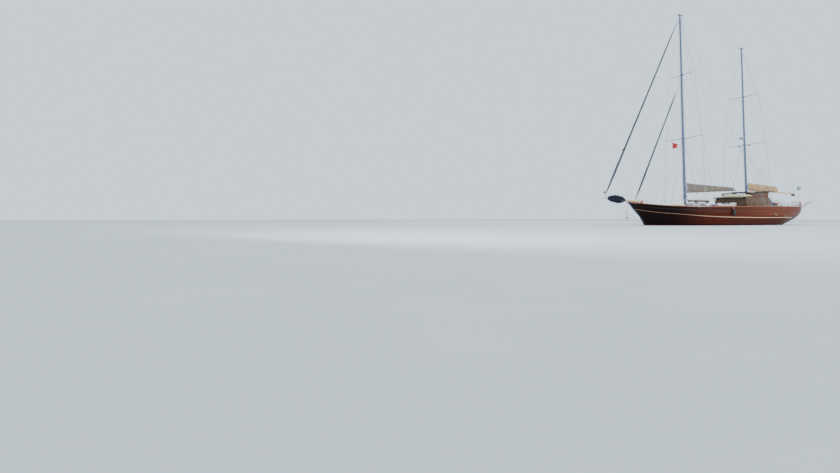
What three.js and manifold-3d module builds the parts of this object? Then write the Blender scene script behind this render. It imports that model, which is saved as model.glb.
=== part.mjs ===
// A two-masted wooden motor sailer: clipper bow, long keel, counter stern, furled headsails,
// covered sails on both booms. Millimetres, +X to the bow, +Y to port, +Z up.
// The origin lies on the waterline, amidships, on the centreline.
import * as THREE from 'three';
import { mergeVertices } from 'three/addons/utils/BufferGeometryUtils.js';
import Module from 'manifold-3d';

const wasm = await Module();
wasm.setup();

// Driving dimensions of the hull
const BULWARK_HEIGHT = 550;
const BULWARK_WALL = 80;
const CAP_HEIGHT = 60;
const CAP_OUTSIDE = 50;
const CAP_INSIDE = 130;
const DECK_THICKNESS = 40;
const STEM_HALF = 60;
const KEEL_HALF = 130;
const KEEL_BOTTOM = -2350;
const SHOE_BOTTOM = -2650;
const DEADWOOD_END = -7300;
const SHAFT_Z = -1450;
const PROP_X = -7600;
const RUDDER_X = -8320;
const RUDDER_TOP = -660;
const STRAKE_HEIGHT = 90;
const STRAKE_PROUD = 45;
const GAP = 0.3;
const FAR = 20000;

// Driving dimensions of the rig
const MAIN = { x: 4620, foot: 2000, head: 22500, low: 145, high: 85 };
const MIZZEN = { x: -4340, foot: 0, head: 19850, low: 130, high: 75 };
const MAIN_BOOM = { start: 260, end: 7420, z0: 3500, z1: 3840, r0: 95, r1: 70 };
const MIZZEN_BOOM = { start: 250, end: 7800, z0: 3930, z1: 3566, r0: 95, r1: 70 };
const BOWSPRIT = { x0: 10300, z0: 2330, x1: 15050, z1: 2790, r0: 105, r1: 78 };
const WIRE = 12;

// Driving dimensions of the deckhouse
const HOUSE = { front: -1900, back: -5300, half: 1850, wall: 60, sill: 2160, top: 2960 };
const ROOF_THICK = 60;

// Hull stations: x, rail height, half beam, bottom height, bilge fullness, vee
const STATIONS = [
  [12000, 2320, 75, 2180, 1.0, 1.0],
  [11500, 2235, 430, 1770, 1.0, 1.0],
  [11000, 2170, 750, 1300, 0.95, 1.0],
  [10640, 2135, 950, 960, 0.95, 1.0],
  [10270, 2100, 1140, 450, 0.92, 1.0],
  [10000, 2075, 1270, 0, 0.92, 1.0],
  [9600, 2040, 1460, -450, 0.98, 1.0],
  [9000, 1995, 1710, -800, 1.12, 0.97],
  [8000, 1935, 2060, -1080, 1.45, 0.88],
  [6500, 1885, 2470, -1260, 1.95, 0.74],
  [4500, 1865, 2820, -1360, 2.5, 0.62],
  [2000, 1885, 3020, -1400, 3.0, 0.53],
  [-1000, 1925, 3050, -1380, 3.2, 0.5],
  [-4000, 1955, 2990, -1240, 3.1, 0.5],
  [-6500, 1965, 2850, -960, 2.6, 0.6],
  [-8500, 1965, 2600, -300, 2.0, 0.75],
  [-9500, 1965, 2370, 0, 1.9, 0.75],
  [-10300, 1965, 1960, 320, 2.1, 0.7],
  [-11000, 1970, 1460, 600, 2.3, 0.6],
  [-11600, 1980, 1020, 840, 2.2, 0.52],
  [-12000, 1990, 700, 1020, 2.0, 0.5],
  [-12300, 2000, 350, 1300, 1.6, 0.5],
].map(([x, rail, beam, bottom, bilge, vee]) => ({ x, rail, beam, bottom, bilge, vee }));
const RING_STEPS = 9;

// Colours of the finishes, with roughness and metalness
const FINISHES = {
  hull: ['#6b2f17', 0.35, 0],
  varnish: ['#8a4a22', 0.3, 0],
  rail: ['#7a3d1e', 0.3, 0],
  teak: ['#b08a5c', 0.7, 0],
  iron: ['#3a1f1c', 0.7, 0.2],
  cream: ['#d8b48a', 0.45, 0],
  spar: ['#6f7c8c', 0.4, 0.3],
  lightwood: ['#e2bd84', 0.35, 0],
  steel: ['#b9bec3', 0.25, 1],
  wire: ['#8b9197', 0.35, 1],
  bronze: ['#a07b45', 0.35, 1],
  sailcover: ['#a09588', 0.85, 0],
  mizzencover: ['#bfa584', 0.85, 0],
  darksail: ['#3c434a', 0.85, 0],
  navy: ['#14204a', 0.85, 0],
  curtain: ['#7d7a6b', 0.85, 0],
  canvas: ['#d9cf8e', 0.8, 0],
  cushion: ['#eadcc3', 0.9, 0],
  white: ['#e9e6e1', 0.5, 0],
  black: ['#1c1d1f', 0.6, 0],
  red: ['#b3201f', 0.8, 0],
};
const materials = {};
for (const [name, [color, roughness, metalness]] of Object.entries(FINISHES)) {
  materials[name] = new THREE.MeshStandardMaterial({ color, roughness, metalness, side: THREE.FrontSide });
}

const group = new THREE.Group();
group.name = 'sailing_yacht';

// Geometry helpers
const V = (x, y, z) => new THREE.Vector3(x, y, z);
const P2 = ([a, b]) => new THREE.Vector2(a, b);

function solid(geometry) {
  const plain = geometry.clone();
  plain.deleteAttribute('normal');
  plain.deleteAttribute('uv');
  const merged = mergeVertices(plain, 0.001);
  return new wasm.Manifold(new wasm.Mesh({
    numProp: 3,
    vertProperties: Float32Array.from(merged.attributes.position.array),
    triVerts: Uint32Array.from(merged.index.array),
  }));
}

function geometryOf(body) {
  const mesh = body.getMesh();
  const geometry = new THREE.BufferGeometry();
  const points = new Float32Array(mesh.numVert * 3);
  for (let i = 0; i < mesh.numVert; i += 1) {
    points.set(mesh.vertProperties.slice(i * mesh.numProp, i * mesh.numProp + 3), i * 3);
  }
  geometry.setAttribute('position', new THREE.BufferAttribute(points, 3));
  geometry.setIndex(Array.from(mesh.triVerts));
  geometry.computeVertexNormals();
  return geometry;
}

const joined = (bodies) => bodies.reduce((sum, body) => sum.add(body));

// The main body that a cut leaves, without the slivers beside it
const largest = (body) => body.decompose().sort((a, b) => b.volume() - a.volume())[0];

function addPiece(name, body, finish) {
  const geometry = body.isBufferGeometry ? body : geometryOf(body);
  const mesh = new THREE.Mesh(geometry, materials[finish]);
  mesh.name = name;
  group.add(mesh);
}

function box(x0, x1, y0, y1, z0, z1) {
  const geometry = new THREE.BoxGeometry(x1 - x0, y1 - y0, z1 - z0);
  geometry.translate((x0 + x1) / 2, (y0 + y1) / 2, (z0 + z1) / 2);
  return solid(geometry);
}

// A flat outline carried from one level to another. The plane's axes are named in order.
const PLANES = {
  xy: [V(1, 0, 0), V(0, 1, 0), V(0, 0, 1)],
  xz: [V(1, 0, 0), V(0, 0, 1), V(0, -1, 0)],
  yz: [V(0, 1, 0), V(0, 0, 1), V(1, 0, 0)],
};

function prism(plane, outline, from, to) {
  const shape = new THREE.Shape(outline.map(P2));
  const geometry = new THREE.ExtrudeGeometry(shape, { depth: to - from, bevelEnabled: false });
  const [u, v, w] = PLANES[plane];
  const start = plane === 'xz' ? -to : from;
  geometry.translate(0, 0, start);
  geometry.applyMatrix4(new THREE.Matrix4().makeBasis(u, v, w));
  return solid(geometry);
}

// A round bar from a to b
function rod(a, b, r0, sides = 8, r1 = r0) {
  const span = b.clone().sub(a);
  const geometry = new THREE.CylinderGeometry(r1, r0, span.length(), sides);
  const turn = new THREE.Quaternion().setFromUnitVectors(V(0, 1, 0), span.clone().normalize());
  geometry.applyQuaternion(turn);
  geometry.translate((a.x + b.x) / 2, (a.y + b.y) / 2, (a.z + b.z) / 2);
  return solid(geometry);
}

// A turned shape about the line from a towards b; profile rows are radius, height along the line
function turned(a, b, profile, sides = 16) {
  const axis = b.clone().sub(a).normalize();
  const geometry = new THREE.LatheGeometry(profile.map(P2), sides);
  geometry.applyQuaternion(new THREE.Quaternion().setFromUnitVectors(V(0, 1, 0), axis));
  geometry.translate(a.x, a.y, a.z);
  return solid(geometry);
}

// Rings of equally many points joined into one closed skin with flat ends
function loft(rings) {
  const count = rings[0].length;
  const points = rings.flat();
  const faces = [];
  for (let i = 0; i + 1 < rings.length; i += 1) {
    for (let j = 0; j < count; j += 1) {
      const a = i * count + j;
      const b = i * count + (j + 1) % count;
      faces.push(a, a + count, b, b, a + count, b + count);
    }
  }
  const last = (rings.length - 1) * count;
  const mid = (ring) => ring.reduce((s, p) => s.add(p), V(0, 0, 0)).divideScalar(count);
  points.push(mid(rings[0]), mid(rings[rings.length - 1]));
  for (let j = 0; j < count; j += 1) {
    const k = (j + 1) % count;
    faces.push(points.length - 2, j, k, points.length - 1, last + k, last + j);
  }
  const geometry = new THREE.BufferGeometry();
  geometry.setAttribute('position', new THREE.Float32BufferAttribute(points.flatMap((p) => [p.x, p.y, p.z]), 3));
  geometry.setIndex(faces);
  const body = solid(geometry);
  if (body.volume() > 0) return body;
  geometry.setIndex(faces.map((_, i) => faces[i - (i % 3) + 2 - (i % 3)]));
  return solid(geometry);
}

// A round tube along a line of points, mitred at each bend
function pipe(points, radius, sides = 6) {
  const way = points.slice(1).map((point, i) => point.clone().sub(points[i]).normalize());
  const side = V(way[0].y, way[0].z, way[0].x);
  return loft(points.map((point, i) => {
    const ahead = way[Math.min(i, way.length - 1)].clone().add(way[Math.max(i - 1, 0)]).normalize();
    side.addScaledVector(ahead, -side.dot(ahead)).normalize();
    const up = ahead.clone().cross(side);
    return Array.from({ length: sides }, (_, k) => {
      const turn = (k + 0.5) * 2 * Math.PI / sides;
      return point.clone().addScaledVector(side, radius * Math.cos(turn)).addScaledVector(up, radius * Math.sin(turn));
    });
  }));
}

const mirrored = (body) => body.mirror([0, 1, 0]);

// Hull form
function station(x) {
  const clamped = Math.min(Math.max(x, STATIONS[STATIONS.length - 1].x), STATIONS[0].x);
  const i = Math.max(0, STATIONS.findIndex((row) => row.x <= clamped) - 1);
  const [a, b] = [STATIONS[i], STATIONS[i + 1]];
  const t = (a.x - clamped) / (a.x - b.x);
  const mix = (key) => a[key] + (b[key] - a[key]) * t;
  return { x, rail: mix('rail'), beam: mix('beam'), bottom: mix('bottom'), bilge: mix('bilge'), vee: mix('vee') };
}

function halfBreadth(row, z) {
  const s = Math.min(1, Math.max(0, (z - row.bottom) / (row.rail - row.bottom)));
  return STEM_HALF + (row.beam - STEM_HALF) * (1 - (1 - s) ** row.bilge) ** row.vee;
}

const railZ = (x) => station(x).rail;
const railY = (x) => station(x).beam;
const capTop = (x) => railZ(x) + GAP + CAP_HEIGHT;

// The level at which a flat foot from x0 to x1 stands on the cap rail
const capSeat = (x0, x1) => GAP + Math.max(
  capTop(x0), capTop(x1), ...STATIONS.filter((row) => row.x > x0 && row.x < x1).map((row) => capTop(row.x)));

function hullRing(row) {
  const side = [];
  for (let j = 0; j <= RING_STEPS; j += 1) {
    const z = row.bottom + (row.rail - row.bottom) * (j / RING_STEPS) ** 1.4;
    side.push(V(row.x, halfBreadth(row, z), z));
  }
  return [...side, ...side.map((p) => V(p.x, -p.y, p.z)).reverse()];
}

// Everything below a line that follows the sheer, dropped by a set amount from the rail
function underSheer(drop) {
  const line = STATIONS.map((row) => [row.x, row.rail - drop]);
  const first = line[0];
  const last = line[line.length - 1];
  return prism('xz', [
    [last[0] - FAR, last[1]], [last[0] - FAR, -FAR], [first[0] + FAR, -FAR], [first[0] + FAR, first[1]], ...line,
  ], -FAR, FAR);
}

// A ring of boxes that follows the rail in plan, from an outer to an inner offset
function sheerBody(offset, low, high, bow, stern) {
  const inside = STATIONS.filter((row) => row.x < bow && row.x > stern).map((row) => row.x);
  const rings = [bow, ...inside, stern].map((x) => {
    const slope = (railY(x + 150) - railY(x - 150)) / 300;
    const row = station(x);
    const yAt = (dz) => Math.max(20, halfBreadth(row, row.rail + dz) + offset * Math.sqrt(1 + slope * slope));
    const [y0, y1, z0, z1] = [yAt(low), yAt(high), row.rail + low, row.rail + high];
    return [V(x, y0, z0), V(x, y1, z1), V(x, -y1, z1), V(x, -y0, z0)];
  });
  return bothSides(loft(rings));
}

const bothSides = (body) => {
  const port = body.intersect(box(-FAR, FAR, 0, FAR, -FAR, FAR));
  return port.add(mirrored(port));
};
const fullHull = bothSides(loft(STATIONS.map(hullRing)));
const belowDeck = underSheer(BULWARK_HEIGHT);
const belowBulwark = underSheer(BULWARK_HEIGHT - GAP);
const deckTopDrop = BULWARK_HEIGHT - 2 * GAP - DECK_THICKNESS;
const belowDeckTop = underSheer(deckTopDrop - GAP);
const deckTop = (x) => railZ(x) - deckTopDrop;
const onDeck = (body) => body.subtract(belowDeckTop);
const well = sheerBody(-BULWARK_WALL, -BULWARK_HEIGHT - 200, 300, 11250, -12180);

// Hull with its backbone
const backbone = prism('xz', [
  [12060, 2230], [11560, 1730], [11080, 1250], [10720, 920], [10350, 420], [10090, -20], [9760, -520],
  [9250, -1150], [8500, -1800], [7500, -2200], [6300, KEEL_BOTTOM], [DEADWOOD_END, KEEL_BOTTOM],
  [DEADWOOD_END, -400], [8000, -400], [9500, 0], [11500, 2050],
], -KEEL_HALF, KEEL_HALF);
const shaftBoss = rod(V(DEADWOOD_END + 400, 0, SHAFT_Z), V(PROP_X, 0, SHAFT_Z), 120, 12);
const rudderTube = rod(V(RUDDER_X, 0, RUDDER_TOP + 20), V(RUDDER_X, 0, 0), 95, 12);
const hull = joined([fullHull, backbone, shaftBoss, rudderTube]).intersect(belowDeck);
addPiece('hull', hull, 'hull');

const shoe = prism('xz', [
  [6300, KEEL_BOTTOM - GAP], [-8900, KEEL_BOTTOM - GAP], [-8900, SHOE_BOTTOM + 60], [-8840, SHOE_BOTTOM],
  [5900, SHOE_BOTTOM + 160],
], -KEEL_HALF, KEEL_HALF);
addPiece('keel_shoe', shoe, 'iron');

const bulwark = fullHull.subtract(belowBulwark).subtract(well);
addPiece('bulwark', bulwark, 'hull');

const capRail = sheerBody(CAP_OUTSIDE, GAP, GAP + CAP_HEIGHT, 12080, -12350)
  .subtract(sheerBody(-CAP_INSIDE, -100, 200, 11400, -12150));
addPiece('cap_rail', capRail, 'rail');

const deck = sheerBody(-BULWARK_WALL - 4, -BULWARK_HEIGHT - 200, 300, 11240, -12170)
  .intersect(underSheer(deckTopDrop)).subtract(belowBulwark);
addPiece('deck', deck, 'teak');

// Rubbing strakes: height of the line at each x
const STRAKE_LINE = [
  [11300, 1630], [10100, 1420], [7000, 1120], [5200, 980], [3200, 890], [-1300, 815], [-8400, 815],
];

function lineAt(line, x) {
  const i = Math.max(1, line.findIndex(([u]) => u <= x));
  const [a, b] = [line[i - 1], line[i]];
  return a[1] + (b[1] - a[1]) * (a[0] - x) / (a[0] - b[0]);
}

function strake(line, height, proud) {
  const first = line[0][0];
  const last = line[line.length - 1][0];
  const inside = STATIONS.filter((row) => row.x < first && row.x > last).map((row) => row.x);
  return loft([first, ...inside, last].map((x) => {
    const z = lineAt(line, x);
    const row = station(x);
    const low = halfBreadth(row, z - height / 2);
    const high = halfBreadth(row, z + height / 2);
    return [
      V(x, low - 60, z - height / 2), V(x, low + proud * 0.6, z - height / 2),
      V(x, (low + high) / 2 + proud, z), V(x, high + proud * 0.6, z + height / 2), V(x, high - 60, z + height / 2),
    ];
  }));
}

const strakePort = largest(strake(STRAKE_LINE, STRAKE_HEIGHT, STRAKE_PROUD)
  .subtract(fullHull.add(backbone).translate([0, GAP, 0])));
addPiece('rub_strake_port', strakePort, 'cream');
addPiece('rub_strake_starboard', mirrored(strakePort), 'cream');

// Rudder on its stock and heel pintle, and the propeller ahead of it
const rudder = joined([
  prism('xz', [
    [RUDDER_X + 30, RUDDER_TOP], [RUDDER_X + 30, KEEL_BOTTOM + 20], [RUDDER_X - 560, KEEL_BOTTOM + 60],
    [RUDDER_X - 900, KEEL_BOTTOM + 450], [RUDDER_X - 860, RUDDER_TOP - 350], [RUDDER_X - 640, RUDDER_TOP + 40],
  ], -55, 55),
  rod(V(RUDDER_X, 0, RUDDER_TOP - 100), V(RUDDER_X, 0, RUDDER_TOP + 20 - GAP), 50, 12),
  rod(V(RUDDER_X, 0, KEEL_BOTTOM + 100), V(RUDDER_X, 0, KEEL_BOTTOM), 45, 12),
]);
addPiece('rudder', rudder, 'hull');

const hub = turned(V(PROP_X - GAP, 0, SHAFT_Z), V(PROP_X - 500, 0, SHAFT_Z), [
  [0, 0], [85, 0], [85, 150], [60, 190], [40, 230], [0, 260],
], 12);
const blades = [0, 1, 2].map((k) => {
  const blade = prism('yz', [[-40, 40], [-150, 240], [-120, 390], [0, 430], [120, 390], [150, 240], [40, 40]], -9, 9);
  return blade.rotate([0, 0, 32]).rotate([k * 120, 0, 0]).translate([PROP_X - 85, 0, SHAFT_Z]);
});
addPiece('propeller', joined([hub, ...blades]), 'bronze');

// Bowsprit, its bitts and bobstay
const bowspritAt = (x) => BOWSPRIT.z0 + (BOWSPRIT.z1 - BOWSPRIT.z0) * (x - BOWSPRIT.x0) / (BOWSPRIT.x1 - BOWSPRIT.x0);
const bowspritR = (x) => BOWSPRIT.r0 + (BOWSPRIT.r1 - BOWSPRIT.r0) * (x - BOWSPRIT.x0) / (BOWSPRIT.x1 - BOWSPRIT.x0);
const spritHeel = V(BOWSPRIT.x0, 0, BOWSPRIT.z0);
const spritTip = V(BOWSPRIT.x1, 0, BOWSPRIT.z1);
const sprit = rod(spritHeel, spritTip, BOWSPRIT.r0, 16, BOWSPRIT.r1);
const saddle = box(11880, 12060, -65, 65, capTop(12000) + GAP, bowspritAt(11970));
const tipRing = rod(spritTip.clone().add(V(-160, 0, -16)), spritTip.clone().add(V(-60, 0, -6)), 100, 16);
const stayLug = box(14915, 14985, -14, 14, bowspritAt(14950), bowspritAt(14950) + 148);
addPiece('bowsprit', joined([sprit, saddle, tipRing, stayLug]), 'lightwood');

const bittPosts = [-1, 1].map((side) => box(10380, 10520, side * 190 - 60, side * 190 + 60, 1400, 2560));
const bittBar = box(10400, 10500, -250, 250, bowspritAt(10400) - BOWSPRIT.r0 - 120, bowspritAt(10400) - BOWSPRIT.r0 - 8);
addPiece('bowsprit_bitts', onDeck(joined([...bittPosts, bittBar])), 'varnish');

const bobstay = rod(V(10330, 0, 300), V(14880, 0, bowspritAt(14880) - bowspritR(14880) - 14.6), 16, 8);
addPiece('bobstay', bobstay.subtract(hull.translate([GAP, 0, 0])), 'steel');

// Headsails rolled on their stays
const genoaFoot = V(14950, 0, bowspritAt(14950) + 150);
const genoaHead = V(MAIN.x + 110, 0, 22250);
const along = (a, b, t) => a.clone().lerp(b, t);
const genoaLength = genoaFoot.distanceTo(genoaHead);
const DRUM = [
  [0, 0], [45, 0], [45, 260], [110, 290], [110, 310], [60, 330], [60, 430], [110, 450], [110, 470], [55, 490],
];
const stayLugRoom = box(14915 - GAP, 14985 + GAP, -14 - GAP, 14 + GAP, 0, bowspritAt(14950) + 148 + GAP);
addPiece('genoa_furled', turned(genoaFoot, genoaHead, [
  ...DRUM.map(([r, d]) => [r, d - 20 * (d === 0)]), [92, 1400], [98, 6500], [82, 13000], [48, 20100], [24, 21400],
  [14, 21500], [14, genoaLength - 110], [0, genoaLength - 110],
], 10).subtract(stayLugRoom), 'darksail');

const stayFoot = V(11220, 0, bowspritAt(11220) + bowspritR(11220) + 14.6);
const stayHead = V(MAIN.x + 125, 0, 15400);
const stayLength = stayFoot.distanceTo(stayHead);
addPiece('staysail_furled', turned(stayFoot, stayHead, [
  [0, 0], [40, 0], [40, 180], [105, 200], [105, 220], [55, 240], [55, 330], [105, 350], [105, 370], [50, 390],
  [78, 1100], [84, 5000], [66, 9000], [38, 12600], [16, 12900], [16, stayLength - 30], [0, stayLength - 30],
], 10), 'darksail');

const babyFoot = V(9350, 0, deckTop(9350) - 30);
addPiece('baby_stay', onDeck(rod(babyFoot, V(MAIN.x + 170, 0, 9100), WIRE, 6)), 'wire');

// The blue sail lashed round the bowsprit
const bundleFrom = V(12500, 0, bowspritAt(12500));
const bundleRows = [[0, 130], [250, 270], [700, 385], [1300, 400], [1700, 310], [2000, 195], [2150, 135]];
const bore = (d) => bowspritR(12500 + d) + GAP;
const bundleProfile = [...bundleRows.map(([d, r]) => [r, d]), [bore(2150), 2150], [bore(0), 0], [130, 0]];
addPiece('jib_bundle', turned(bundleFrom, spritTip, bundleProfile, 16), 'navy');

// Masts, spreaders and standing rigging
const mastRadius = (mast, z, foot) => mast.low + (mast.high - mast.low) * (z - foot) / (mast.head - foot);
const MAST_FEET = { main: MAIN.foot + GAP, mizzen: Math.max(deckTop(MIZZEN.x - 130), deckTop(MIZZEN.x + 130)) + GAP };
const MASTS = { main: MAIN, mizzen: MIZZEN };
for (const [name, mast] of Object.entries(MASTS)) {
  const foot = MAST_FEET[name];
  const pole = rod(V(mast.x, 0, foot), V(mast.x, 0, mast.head), mast.low, 16, mast.high);
  const z = mast.head - 10;
  const cap = box(mast.x - 150, mast.x + 130, -70, 70, z, z + 90);
  const light = rod(V(mast.x, 0, z + 80), V(mast.x, 0, z + 210), 45, 10);
  const aerial = rod(V(mast.x - 110, 0, z + 80), V(mast.x - 110, 0, z + (name === 'main' ? 900 : 500)), 8, 6);
  addPiece(`${name}_mast`, joined([pole, cap, light, aerial]), 'spar');
}

// Spreaders: mast, level, height, half span
const SPREADERS = [
  ['main', 'lower', 9150, 2360],
  ['main', 'upper', 15980, 1700],
  ['mizzen', 'lower', 8880, 2560],
  ['mizzen', 'upper', 14310, 1820],
];
for (const [name, level, z, half] of SPREADERS) {
  const mast = MASTS[name];
  const radius = mastRadius(mast, z, MAST_FEET[name]);
  const bore = mastRadius(mast, z - 70, MAST_FEET[name]) + GAP;
  const collar = turned(V(mast.x, 0, z - 70), V(mast.x, 0, z + 70), [
    [bore, 0], [radius + 34, 0], [radius + 34, 140], [bore, 140], [bore, 0],
  ], 16);
  const arms = [-1, 1].map((side) => rod(
    V(mast.x, side * (radius + 20), z), V(mast.x, side * (half - WIRE - 9), z + 60), 42, 8, 26));
  addPiece(`${name}_${level}_spreaders`, joined([collar, ...arms]), 'spar');
}

// Shroud sets: mast, chainplate offsets forward and aft, head of the cap shroud
const SHROUDS = [['main', 850, 700, 21900], ['mizzen', 850, 700, 19300]];
for (const [name, forward, aft, head] of SHROUDS) {
  const mast = MASTS[name];
  const tips = SPREADERS.filter(([of]) => of === name);
  const [, , lowZ, lowHalf] = tips[0];
  const [, , highZ, highHalf] = tips[1];
  const seat = capSeat(mast.x - aft - 90, mast.x + forward + 90);
  const y = Math.min(railY(mast.x + forward), railY(mast.x - aft)) - 30;
  const plate = box(mast.x - aft - 90, mast.x + forward + 90, y - 30, y + 30, seat, seat + 70);
  const cap = pipe([
    V(mast.x, y, seat + 40), V(mast.x, lowHalf, lowZ + 60), V(mast.x, highHalf, highZ + 60), V(mast.x, 128, head),
  ], WIRE);
  const lowerEnd = mastRadius(mast, lowZ, MAST_FEET[name]) + 22;
  const lowers = [forward, -aft].map((dx) => rod(
    V(mast.x + dx, y, seat + 40), V(mast.x + Math.sign(dx) * 40, lowerEnd, lowZ - 230), WIRE, 6));
  const set = joined([plate, cap, ...lowers]);
  addPiece(`${name}_shrouds_port`, set, 'wire');
  addPiece(`${name}_shrouds_starboard`, mirrored(set), 'wire');
}

// Backstays from the main masthead to the rail abreast of the mizzen mast
const backFootX = -3250;
const backstay = joined([
  rod(V(MAIN.x - 110, 60, 22200), V(backFootX, railY(backFootX) - 40, capTop(backFootX) + 40), WIRE, 6),
  box(backFootX - 60, backFootX + 60, railY(backFootX) - 75, railY(backFootX) - 5,
    capSeat(backFootX - 60, backFootX + 60), capTop(backFootX) + 70),
]);
addPiece('main_backstay_port', backstay, 'wire');
addPiece('main_backstay_starboard', mirrored(backstay), 'wire');

// Booms with their covered sails and topping lifts: mast, boom, cover rows, lift top, finish
// Cover rows: distance aft of the mast, bottom, top, half width
const COVERS = {
  main: [
    [330, 3378, 4460, 130], [900, 3400, 4400, 230], [3000, 3505, 4290, 215], [5500, 3636, 4170, 170],
    [7000, 3708, 4095, 135],
  ],
  mizzen: [
    [320, 3795, 4660, 130], [900, 3766, 4610, 200], [2600, 3690, 4480, 185], [4300, 3610, 4340, 155],
    [4850, 3590, 4285, 135],
  ],
};
const BOOMS = [
  ['main', MAIN_BOOM, 21500, 'spar', 'sailcover'],
  ['mizzen', MIZZEN_BOOM, 18900, 'lightwood', 'mizzencover'],
];
for (const [name, boom, liftTop, boomFinish, coverFinish] of BOOMS) {
  const mast = MASTS[name];
  const boomZ = (d) => boom.z0 + (boom.z1 - boom.z0) * (d - boom.start) / (boom.end - boom.start);
  const bar = rod(V(mast.x - boom.start, 0, boom.z0), V(mast.x - boom.end, 0, boom.z1), boom.r0, 14, boom.r1);
  const mastR = mastRadius(mast, boom.z0 - 60, MAST_FEET[name]);
  const fork = box(mast.x - boom.start - 40, mast.x - mastR - 0.9, -45, 45, boom.z0 - 60, boom.z0 + 60);
  const liftR = mastRadius(mast, liftTop, MAST_FEET[name]) + 40;
  const lift = rod(V(mast.x - boom.end + 60, 0, boomZ(boom.end - 60)), V(mast.x - liftR, 0, liftTop), 9, 6);
  addPiece(`${name}_boom`, joined([bar, fork, lift]), boomFinish);
  const rings = COVERS[name].map(([d, low, high, half]) => {
    const ring = [];
    for (let k = 0; k < 12; k += 1) {
      const angle = (k + 0.5) * Math.PI / 6;
      const y = Math.sin(angle) * half * (0.72 - 0.28 * Math.cos(angle));
      ring.push(V(mast.x - d, -y, (low + high) / 2 + Math.cos(angle) * (high - low) / 2));
    }
    return ring;
  });
  const nearBar = rod(V(mast.x - boom.start, 0, boom.z0), V(mast.x - boom.end, 0, boom.z1),
    boom.r0 + GAP, 14, boom.r1 + GAP);
  addPiece(`${name}_sail_cover`, largest(loft(rings).subtract(nearBar)), coverFinish);
}

// Trunk cabin ahead of the deckhouse, with cushions on it
const trunkPlan = [[7000, -820], [7000, 820], [6300, 1180], [5000, 1400], [2500, 1550], [-1400, 1600],
  [-1400, -1600], [2500, -1550], [5000, -1400], [6300, -1180]];
const trunk = onDeck(prism('xy', trunkPlan.slice().reverse(), 500, MAIN.foot));

const CUSHION_TOP = MAIN.foot + 170;
const SUNBED_FORE = [[5150, -900], [6650, -600], [6650, 600], [5150, 900]];
addPiece('sunbed_forward', prism('xy', SUNBED_FORE, MAIN.foot + GAP, CUSHION_TOP), 'cushion');
addPiece('sunbed_aft', box(-1150, 1350, -1450, 1450, MAIN.foot + GAP, CUSHION_TOP), 'cushion');

// A small tender on chocks aft of the main mast
const TENDER = [[4250, 60, 2560], [3900, 330, 2360], [3200, 560, 2250], [2200, 600, 2240], [1750, 480, 2270]];
const tenderTop = 2760;
const tenderHull = loft(TENDER.map(([x, half, low]) => [
  V(x, half, tenderTop - 90), V(x, half * 0.8, (low + tenderTop) / 2 - 60), V(x, half * 0.3, low),
  V(x, -half * 0.3, low), V(x, -half * 0.8, (low + tenderTop) / 2 - 60), V(x, -half, tenderTop - 90),
  V(x, -half * 0.6, tenderTop), V(x, half * 0.6, tenderTop),
]));
const chock = (x, low) => box(x - 40, x + 40, -330, 330, MAIN.foot - 20, low + 120);
const chocks = [chock(3300, 2250), chock(2150, 2250)].map((body) => body.subtract(tenderHull.translate([0, 0, -GAP])));
addPiece('tender', tenderHull, 'navy');
addPiece('trunk_cabin', joined([trunk, ...chocks]), 'varnish');

// Deckhouse: hollow, one wall thick all round, windows and a doorway cut
const inner = HOUSE.half - HOUSE.wall;
const houseShell = onDeck(box(HOUSE.back, HOUSE.front, -HOUSE.half, HOUSE.half, 1000, HOUSE.top)
  .subtract(box(HOUSE.back + HOUSE.wall, HOUSE.front - HOUSE.wall, -inner, inner, 900, HOUSE.top + 100)));
const windowCuts = [];
const WINDOW = { low: HOUSE.sill, high: HOUSE.top - 70 };
for (const [x0, x1] of [[-5180, -4180], [-4080, -3080], [-2980, -2020]]) {
  windowCuts.push(box(x0, x1, -HOUSE.half - 50, HOUSE.half + 50, WINDOW.low, WINDOW.high));
}
for (const [y0, y1] of [[-1730, -620], [-520, 520], [620, 1730]]) {
  windowCuts.push(box(HOUSE.front - 200, HOUSE.front + 50, y0, y1, WINDOW.low, WINDOW.high));
}
for (const side of [-1, 1]) {
  const [y0, y1] = side > 0 ? [560, 1730] : [-1730, -560];
  windowCuts.push(box(HOUSE.back - 50, HOUSE.back + 200, y0, y1, WINDOW.low, WINDOW.high));
}
const DOOR = { half: 360, low: 1560, high: 2920 };
windowCuts.push(box(HOUSE.back - 50, HOUSE.back + 200, -DOOR.half, DOOR.half, DOOR.low, DOOR.high));

// Wing walls abaft the house, their after edge swept down to the coaming: x, z
const WING_EDGE = [[-5450, 2955], [-5600, 2720], [-5860, 2490], [-6100, 2350], [-6350, 2250]];
const WING_FORE = HOUSE.back + 10;
const wings = [-1, 1].map((side) => prism('xz', [
  [WING_FORE, 1000], [WING_FORE, WING_EDGE[0][1]], ...WING_EDGE, [WING_EDGE[4][0], 1000],
], side * (HOUSE.half - HOUSE.wall / 2) - HOUSE.wall / 2, side * (HOUSE.half - HOUSE.wall / 2) + HOUSE.wall / 2));
const houseWalls = windowCuts.reduce((body, cut) => body.subtract(cut), houseShell);
addPiece('deckhouse_walls', joined([houseWalls, ...wings.map(onDeck)]), 'varnish');

const DOOR_GAP = 8;
const doorLeaf = box(HOUSE.back + 5, HOUSE.back + 45, -DOOR.half + DOOR_GAP, DOOR.half - DOOR_GAP,
  DOOR.low + DOOR_GAP, DOOR.high - DOOR_GAP);
const DOOR_PIN = { x: HOUSE.back - 10, y: -DOOR.half };
const doorHinges = [1750, 2700].flatMap((z) => [
  rod(V(DOOR_PIN.x, DOOR_PIN.y, z), V(DOOR_PIN.x, DOOR_PIN.y, z + 120), 9.5, 12),
  box(HOUSE.back - 8, HOUSE.back + 6, DOOR_PIN.y, DOOR_PIN.y + 60, z + 10, z + 110),
]);
addPiece('deckhouse_door', joined([doorLeaf, ...doorHinges]), 'varnish');

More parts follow.
